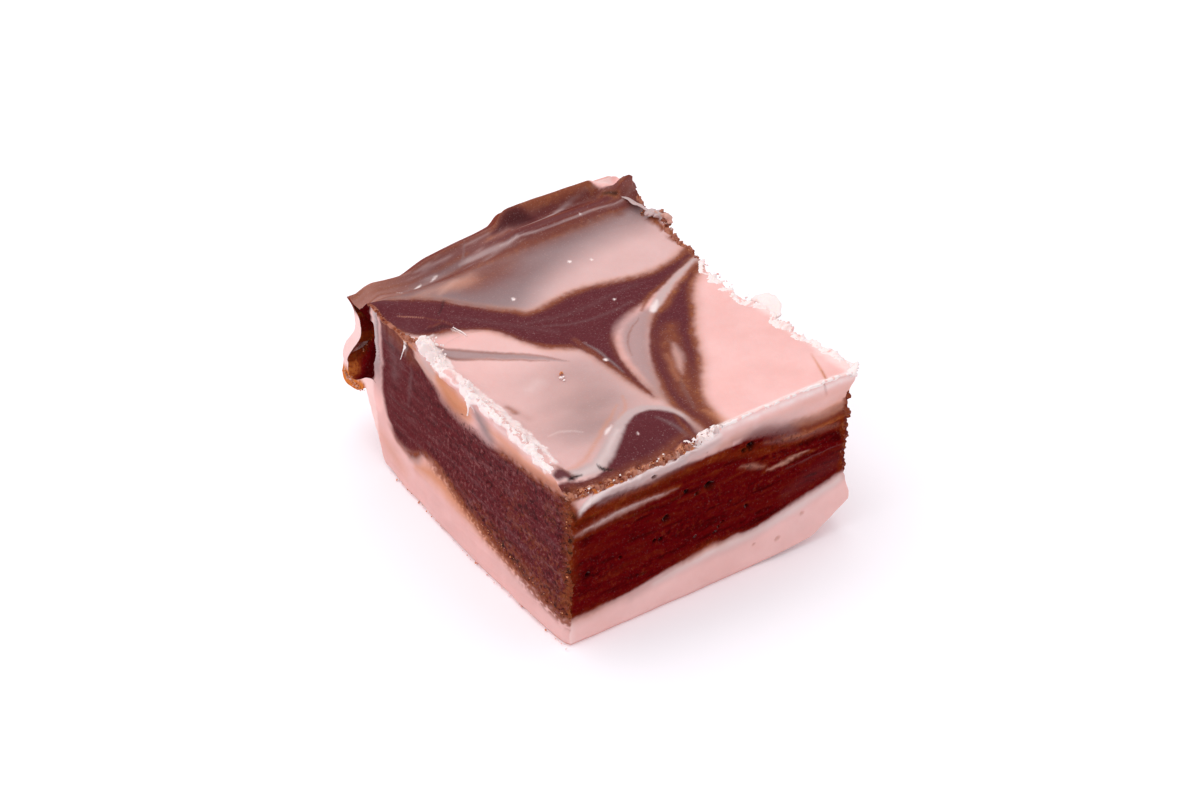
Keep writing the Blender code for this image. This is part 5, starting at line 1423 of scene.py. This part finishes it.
def fudge(name):
    """Fudge: boiled sugar, milk and cocoa butter, poured in a tray, swirled and cut with a knife.

    That gives the eye a soft, matt mass, milky pink or deep cocoa red, which lets a little light
    in. Its skin has a faint waxy sheen, and a torn face is grainy, darker and without any.
    """
    material, tree = blank(name)
    place = add(tree, "ShaderNodeTexCoord").outputs["Object"]
    value = {m: add(tree, "ShaderNodeAttribute", attribute_name=m).outputs["Fac"] for m in MASKS}

    # Patterns: the size of a mark in mm and the detail in it. Patches and mottle are drifts in
    # the mass and curds are clots of cocoa. Real sugar crystals are some 0.03 mm, which is too
    # fine to show, so dust and grit are drawn about ten and twenty times as coarse.
    for pattern, size, detail in (("patches", 7.143, 3.0), ("mottle", 1.111, 3.0),
                                  ("dust", 0.2632, 2.0), ("curds", 0.6667, 4.0)):
        value[pattern] = add(tree, "ShaderNodeTexNoise",
                             {"Vector": place, "Scale": 1 / (size * MM), "Detail": detail,
                              "Roughness": 0.6}).outputs["Fac"]
    grit_size = 0.5882
    value["grit"] = add(tree, "ShaderNodeTexVoronoi",
                        {"Vector": place, "Scale": 1 / (grit_size * MM)}).outputs[0]

    # A value stretched from one range to another: result, source, from, to
    for result, source, lo, hi, low_result, high_result in (
            ("patchy", "patches", 0.35, 0.65, 0.0, 1.0),
            ("torn", "cut", 0.5, 1.0, 0.0, 1.0),
            ("flecks", "mottle", 0.52, 0.75, 0.0, 0.5),
            ("light_curd", "curds", 0.56, 0.65, 0.0, 0.72),
            ("dark_curd", "curds", 0.46, 0.37, 0.0, 0.70),
            ("dusted", "dust", 0.60, 0.74, 0.0, 0.15),
            ("dust_kept", "cut", 0.0, 1.0, 1.0, 0.35),
            ("dullness", "cocoa", 0.0, 1.0, 0.50, 0.42),
            ("wax", "cut", 0.0, 1.0, 0.35, 0.0)):
        value[result] = add(tree, "ShaderNodeMapRange",
                            {"Value": value[source], "From Min": lo, "From Max": hi,
                             "To Min": low_result, "To Max": high_result}).outputs[0]

    # Curds show where the mass is grainy, sugar dust most on the skin, crumb where cocoa is torn
    for result, operation, first, second in (
            ("light_curd", "MULTIPLY", "light_curd", "grain"),
            ("dark_curd", "MULTIPLY", "dark_curd", "grain"),
            ("sugar", "MULTIPLY", "dusted", "dust_kept"),
            ("torn_cocoa", "MULTIPLY", "cocoa", "cut"),
            ("crumbly", "MAXIMUM", "rust", "torn_cocoa")):
        value[result] = add(tree, "ShaderNodeMath", {0: value[first], 1: value[second]},
                            operation=operation).outputs[0]

    # A colour mixed from two: result, share, the one below, the one laid over it. First come the
    # two looks of each paint, on the skin and where it is torn, then the paints from below up.
    tint = {}
    for result, share, below, over in (
            ("pink", "patchy", "#F4C0BA", "#EEB6AF"),
            ("caramel", "torn", "#D08A68", "#CB7438"),
            # The skin's cocoa is greyer and more purple than the torn one, partly as painted sheen
            ("cocoa", "cut", "#5C2127", "#5A0408"),
            ("rust", "cut", "#84452C", "#74280C"),
            ("crumb", "cut", "#B4703F", "#A35A26"),
            ("curd", "cut", "#8E6367", "#762B15"),
            ("rust", "flecks", "rust", "crumb"),
            ("fudge", "film", "pink", "#8D7777"),
            ("fudge", "tan", "fudge", "caramel"),
            ("fudge", "milk", "fudge", "#F7E6E2"),
            ("fudge", "cocoa", "fudge", "cocoa"),
            ("fudge", "rust", "fudge", "rust"),
            ("fudge", "light_curd", "fudge", "curd"),
            ("fudge", "dark_curd", "fudge", "#2A0507"),
            # deep: the near-black painted shade of pits, cracks and creases
            ("fudge", "deep", "fudge", "#120202"),
            ("fudge", "sugar", "fudge", "#E9C9C4")):
        pair = [colour(side) if side.startswith("#") else tint[side] for side in (below, over)]
        tint[result] = add(tree, "ShaderNodeMix", {0: value[share], 6: pair[0], 7: pair[1]},
                           data_type="RGBA").outputs[2]

    # Relief: grit that stands up where the mass is crumbly, over the soft mottle
    grit_share = add(tree, "ShaderNodeMapRange", {"Value": value["crumbly"], "To Min": 0.2,
                                                  "To Max": 1.6}).outputs[0]
    relief = add(tree, "ShaderNodeMath", {0: value["grit"], 1: grit_share, 2: value["mottle"]},
                 operation="MULTIPLY_ADD").outputs[0]
    grainy = add(tree, "ShaderNodeBump", {"Height": relief, "Strength": 0.45,
                                          "Distance": 0.16 * MM}).outputs[0]

    # Sugar and fat have an IOR of about 1.45. Light goes about 1 mm into the milk, red furthest.
    # The sheen is all in the coat of wax, which the torn faces go without.
    shader = add(tree, "ShaderNodeBsdfPrincipled",
                 {"Base Color": tint["fudge"], "Roughness": value["dullness"], "Normal": grainy,
                  "IOR": 1.45, "Specular IOR Level": 0.0, "Subsurface Weight": 0.15,
                  "Subsurface Scale": 1.0 * MM, "Subsurface Radius": (1.0, 0.45, 0.35),
                  "Coat Weight": value["wax"], "Coat Roughness": 0.45, "Coat IOR": 1.4})
    add(tree, "ShaderNodeOutputMaterial", {"Surface": shader.outputs[0]})
    return material


def laminate(name):
    """White melamine laminate, pressed matt: an even, bright table that takes a soft shadow."""
    material, tree = blank(name)
    shader = add(tree, "ShaderNodeBsdfPrincipled",
                 {"Base Color": colour("#FDFBFE"), "Roughness": 0.9, "IOR": 1.5,
                  "Specular IOR Level": 0.0, "Emission Color": colour("#FBF9FF"),
                  "Emission Strength": 0.05})
    add(tree, "ShaderNodeOutputMaterial", {"Surface": shader.outputs[0]})
    return material


# Build the three layers

# Cells along x and in the height of each layer, fine rows to one row of the section, and the
# longer step that is taken where a face is hidden
ALONG = 210
BASE_CELLS, CHOCOLATE_CELLS, TOP_CELLS = 36, 84, 24
FINE_FLOOR, FINE_CLIMB = 10, 5
FLOOR_CELLS = FLOOR_ROWS * FINE_FLOOR
ALL_CELLS = FLOOR_CELLS + CLIMB_ROWS * FINE_CLIMB
COVERED_CELLS = COVERED * FINE_FLOOR
HIDDEN_STEP = 5


def all_rows(t):
    """Even fine steps: many on the floor rows, fewer on the short climb rows."""
    n = t * ALL_CELLS
    return np.where(n <= FLOOR_CELLS, n / FINE_FLOOR, FLOOR_ROWS + (n - FLOOR_CELLS) / FINE_CLIMB)


def covered_rows(t):
    """Even fine steps up to the line where the marbled top runs out."""
    return t * COVERED


def coarse_up_to(n):
    """Long steps where the face is hidden, up to step n, and single steps after it."""
    return spaced(n, HIDDEN_STEP)[:-1] + list(range(n, ALL_CELLS + 1))


# Steps for each face, both ways across it, and its place in the UV square
SHOWN = {"a": (1, 1), "b": (1, 1)}
base_steps = {**SHOWN, "d": (3, 2), "c": (1, 8), "low": (2, coarse_up_to(FLOOR_CELLS)),
              "high": (6, 6)}
choc_steps = {**SHOWN, "d": (2, 2), "c": (3, 21), "low": (6, 6),
              "high": (1, coarse_up_to(COVERED_CELLS))}
top_steps = {**SHOWN, "d": (2, 2), "c": (3, 6), "low": (6, 6), "high": (1, 1)}
base_tiles = {"a": (0.01, 0.70, 0.99, 0.99), "b": (0.01, 0.45, 0.70, 0.68),
              "low": (0.01, 0.01, 0.60, 0.43), "d": (0.62, 0.25, 0.99, 0.43),
              "c": (0.72, 0.45, 0.99, 0.50), "high": (0.62, 0.01, 0.99, 0.23)}
choc_tiles = {"a": (0.01, 0.62, 0.99, 0.99), "b": (0.01, 0.30, 0.60, 0.60),
              "high": (0.62, 0.01, 0.99, 0.60), "d": (0.01, 0.10, 0.60, 0.28),
              "c": (0.01, 0.06, 0.60, 0.09), "low": (0.01, 0.01, 0.60, 0.05)}
top_tiles = {"a": (0.80, 0.20, 0.99, 0.99), "b": (0.01, 0.01, 0.78, 0.16),
             "high": (0.01, 0.18, 0.78, 0.99), "d": (0.80, 0.01, 0.99, 0.16),
             "c": (0.80, 0.17, 0.89, 0.19), "low": (0.90, 0.17, 0.99, 0.19)}

material = fudge("swirled_fudge")
for name, node, slot, size, rows, place, steps, tiles in (
        ("fudge_base", "base_layer", "pink_base", (ALONG, ALL_CELLS, BASE_CELLS),
         all_rows, base_point, base_steps, base_tiles),
        ("fudge_chocolate", "chocolate_layer", "chocolate", (ALONG, ALL_CELLS, CHOCOLATE_CELLS),
         all_rows, chocolate_point, choc_steps, choc_tiles),
        ("fudge_top", "top_layer", "marbled_top", (ALONG, COVERED_CELLS, TOP_CELLS),
         covered_rows, top_point, top_steps, top_tiles)):
    piece, points, where, row = layer(name, size, rows, place, steps, tiles)
    shows = {"fudge_base": np.zeros(len(points), bool),
             "fudge_chocolate": where["high"] & (row >= COVERED - 0.01),
             "fudge_top": where["high"]}[name]
    paint(piece, points, where, shows, name == "fudge_base")
    piece.data.materials.append(material)
    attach(piece, "root")
    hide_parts(node)

points, faces, paints = crumb_bits(np.random.default_rng(7))
loose("fudge_crumbs", points, faces, weights(paints), 0.6, False)
points, faces, paints = flake_bits()
loose("fudge_flakes", points, faces, weights(paints), 0.3, True)
points, faces, values, uvs = torn_edges()
loose("fudge_torn_edges", points, faces, values, 0.5, True, uvs)

# Floor, light and camera

floor_mesh = bpy.data.meshes.new("floor")
reach = 6.0
floor_mesh.from_pydata([(-reach, -reach, 0), (reach, -reach, 0), (reach, reach, 0),
                        (-reach, reach, 0)], [], [(0, 1, 2, 3)])
floor = bpy.data.objects.new("floor", floor_mesh)
bpy.context.scene.collection.objects.link(floor)
floor_mesh.materials.append(laminate("white_laminate"))

world = bpy.data.worlds.new("studio")
bpy.context.scene.world = world
world.use_nodes = True
background = world.node_tree.nodes["Background"]
background.inputs["Color"].default_value = colour("#FBFAFF")
background.inputs["Strength"].default_value = 0.78


def softbox(name, where_to, size, power, tint):
    """A square soft light that looks at the middle of the fudge."""
    light = bpy.data.lights.new(name, "AREA")
    light.shape, light.size, light.energy, light.color = "SQUARE", size, power, colour(tint)[:3]
    lamp = bpy.data.objects.new(name, light)
    lamp.location = where_to
    to_middle = Vector((0, 0, 15 * MM)) - lamp.location
    lamp.rotation_euler = to_middle.to_track_quat("-Z", "Y").to_euler()
    bpy.context.scene.collection.objects.link(lamp)


softbox("softbox_above", (-0.15, 0.1, 0.9), 0.9, 4.0, "#FFFDFB")
softbox("softbox_left", (-0.8, 0.15, 0.45), 0.5, 0.9, "#F6F8FF")

# The camera was fitted to the corners of the piece in the photo
camera_data = bpy.data.cameras.new("photo_view")
camera_data.lens, camera_data.sensor_width = 76.5, 36.0
camera_data.clip_start = 0.01
camera = bpy.data.objects.new("photo_view", camera_data)
camera.location = (-0.1735, -0.2560, 0.2369)
camera.rotation_euler = (math.radians(90 - 35.2), 0.0, math.radians(-33.7))
bpy.context.scene.collection.objects.link(camera)
bpy.context.scene.camera = camera
bpy.context.scene.view_settings.view_transform = "Standard"
bpy.context.scene.view_settings.look = "None"
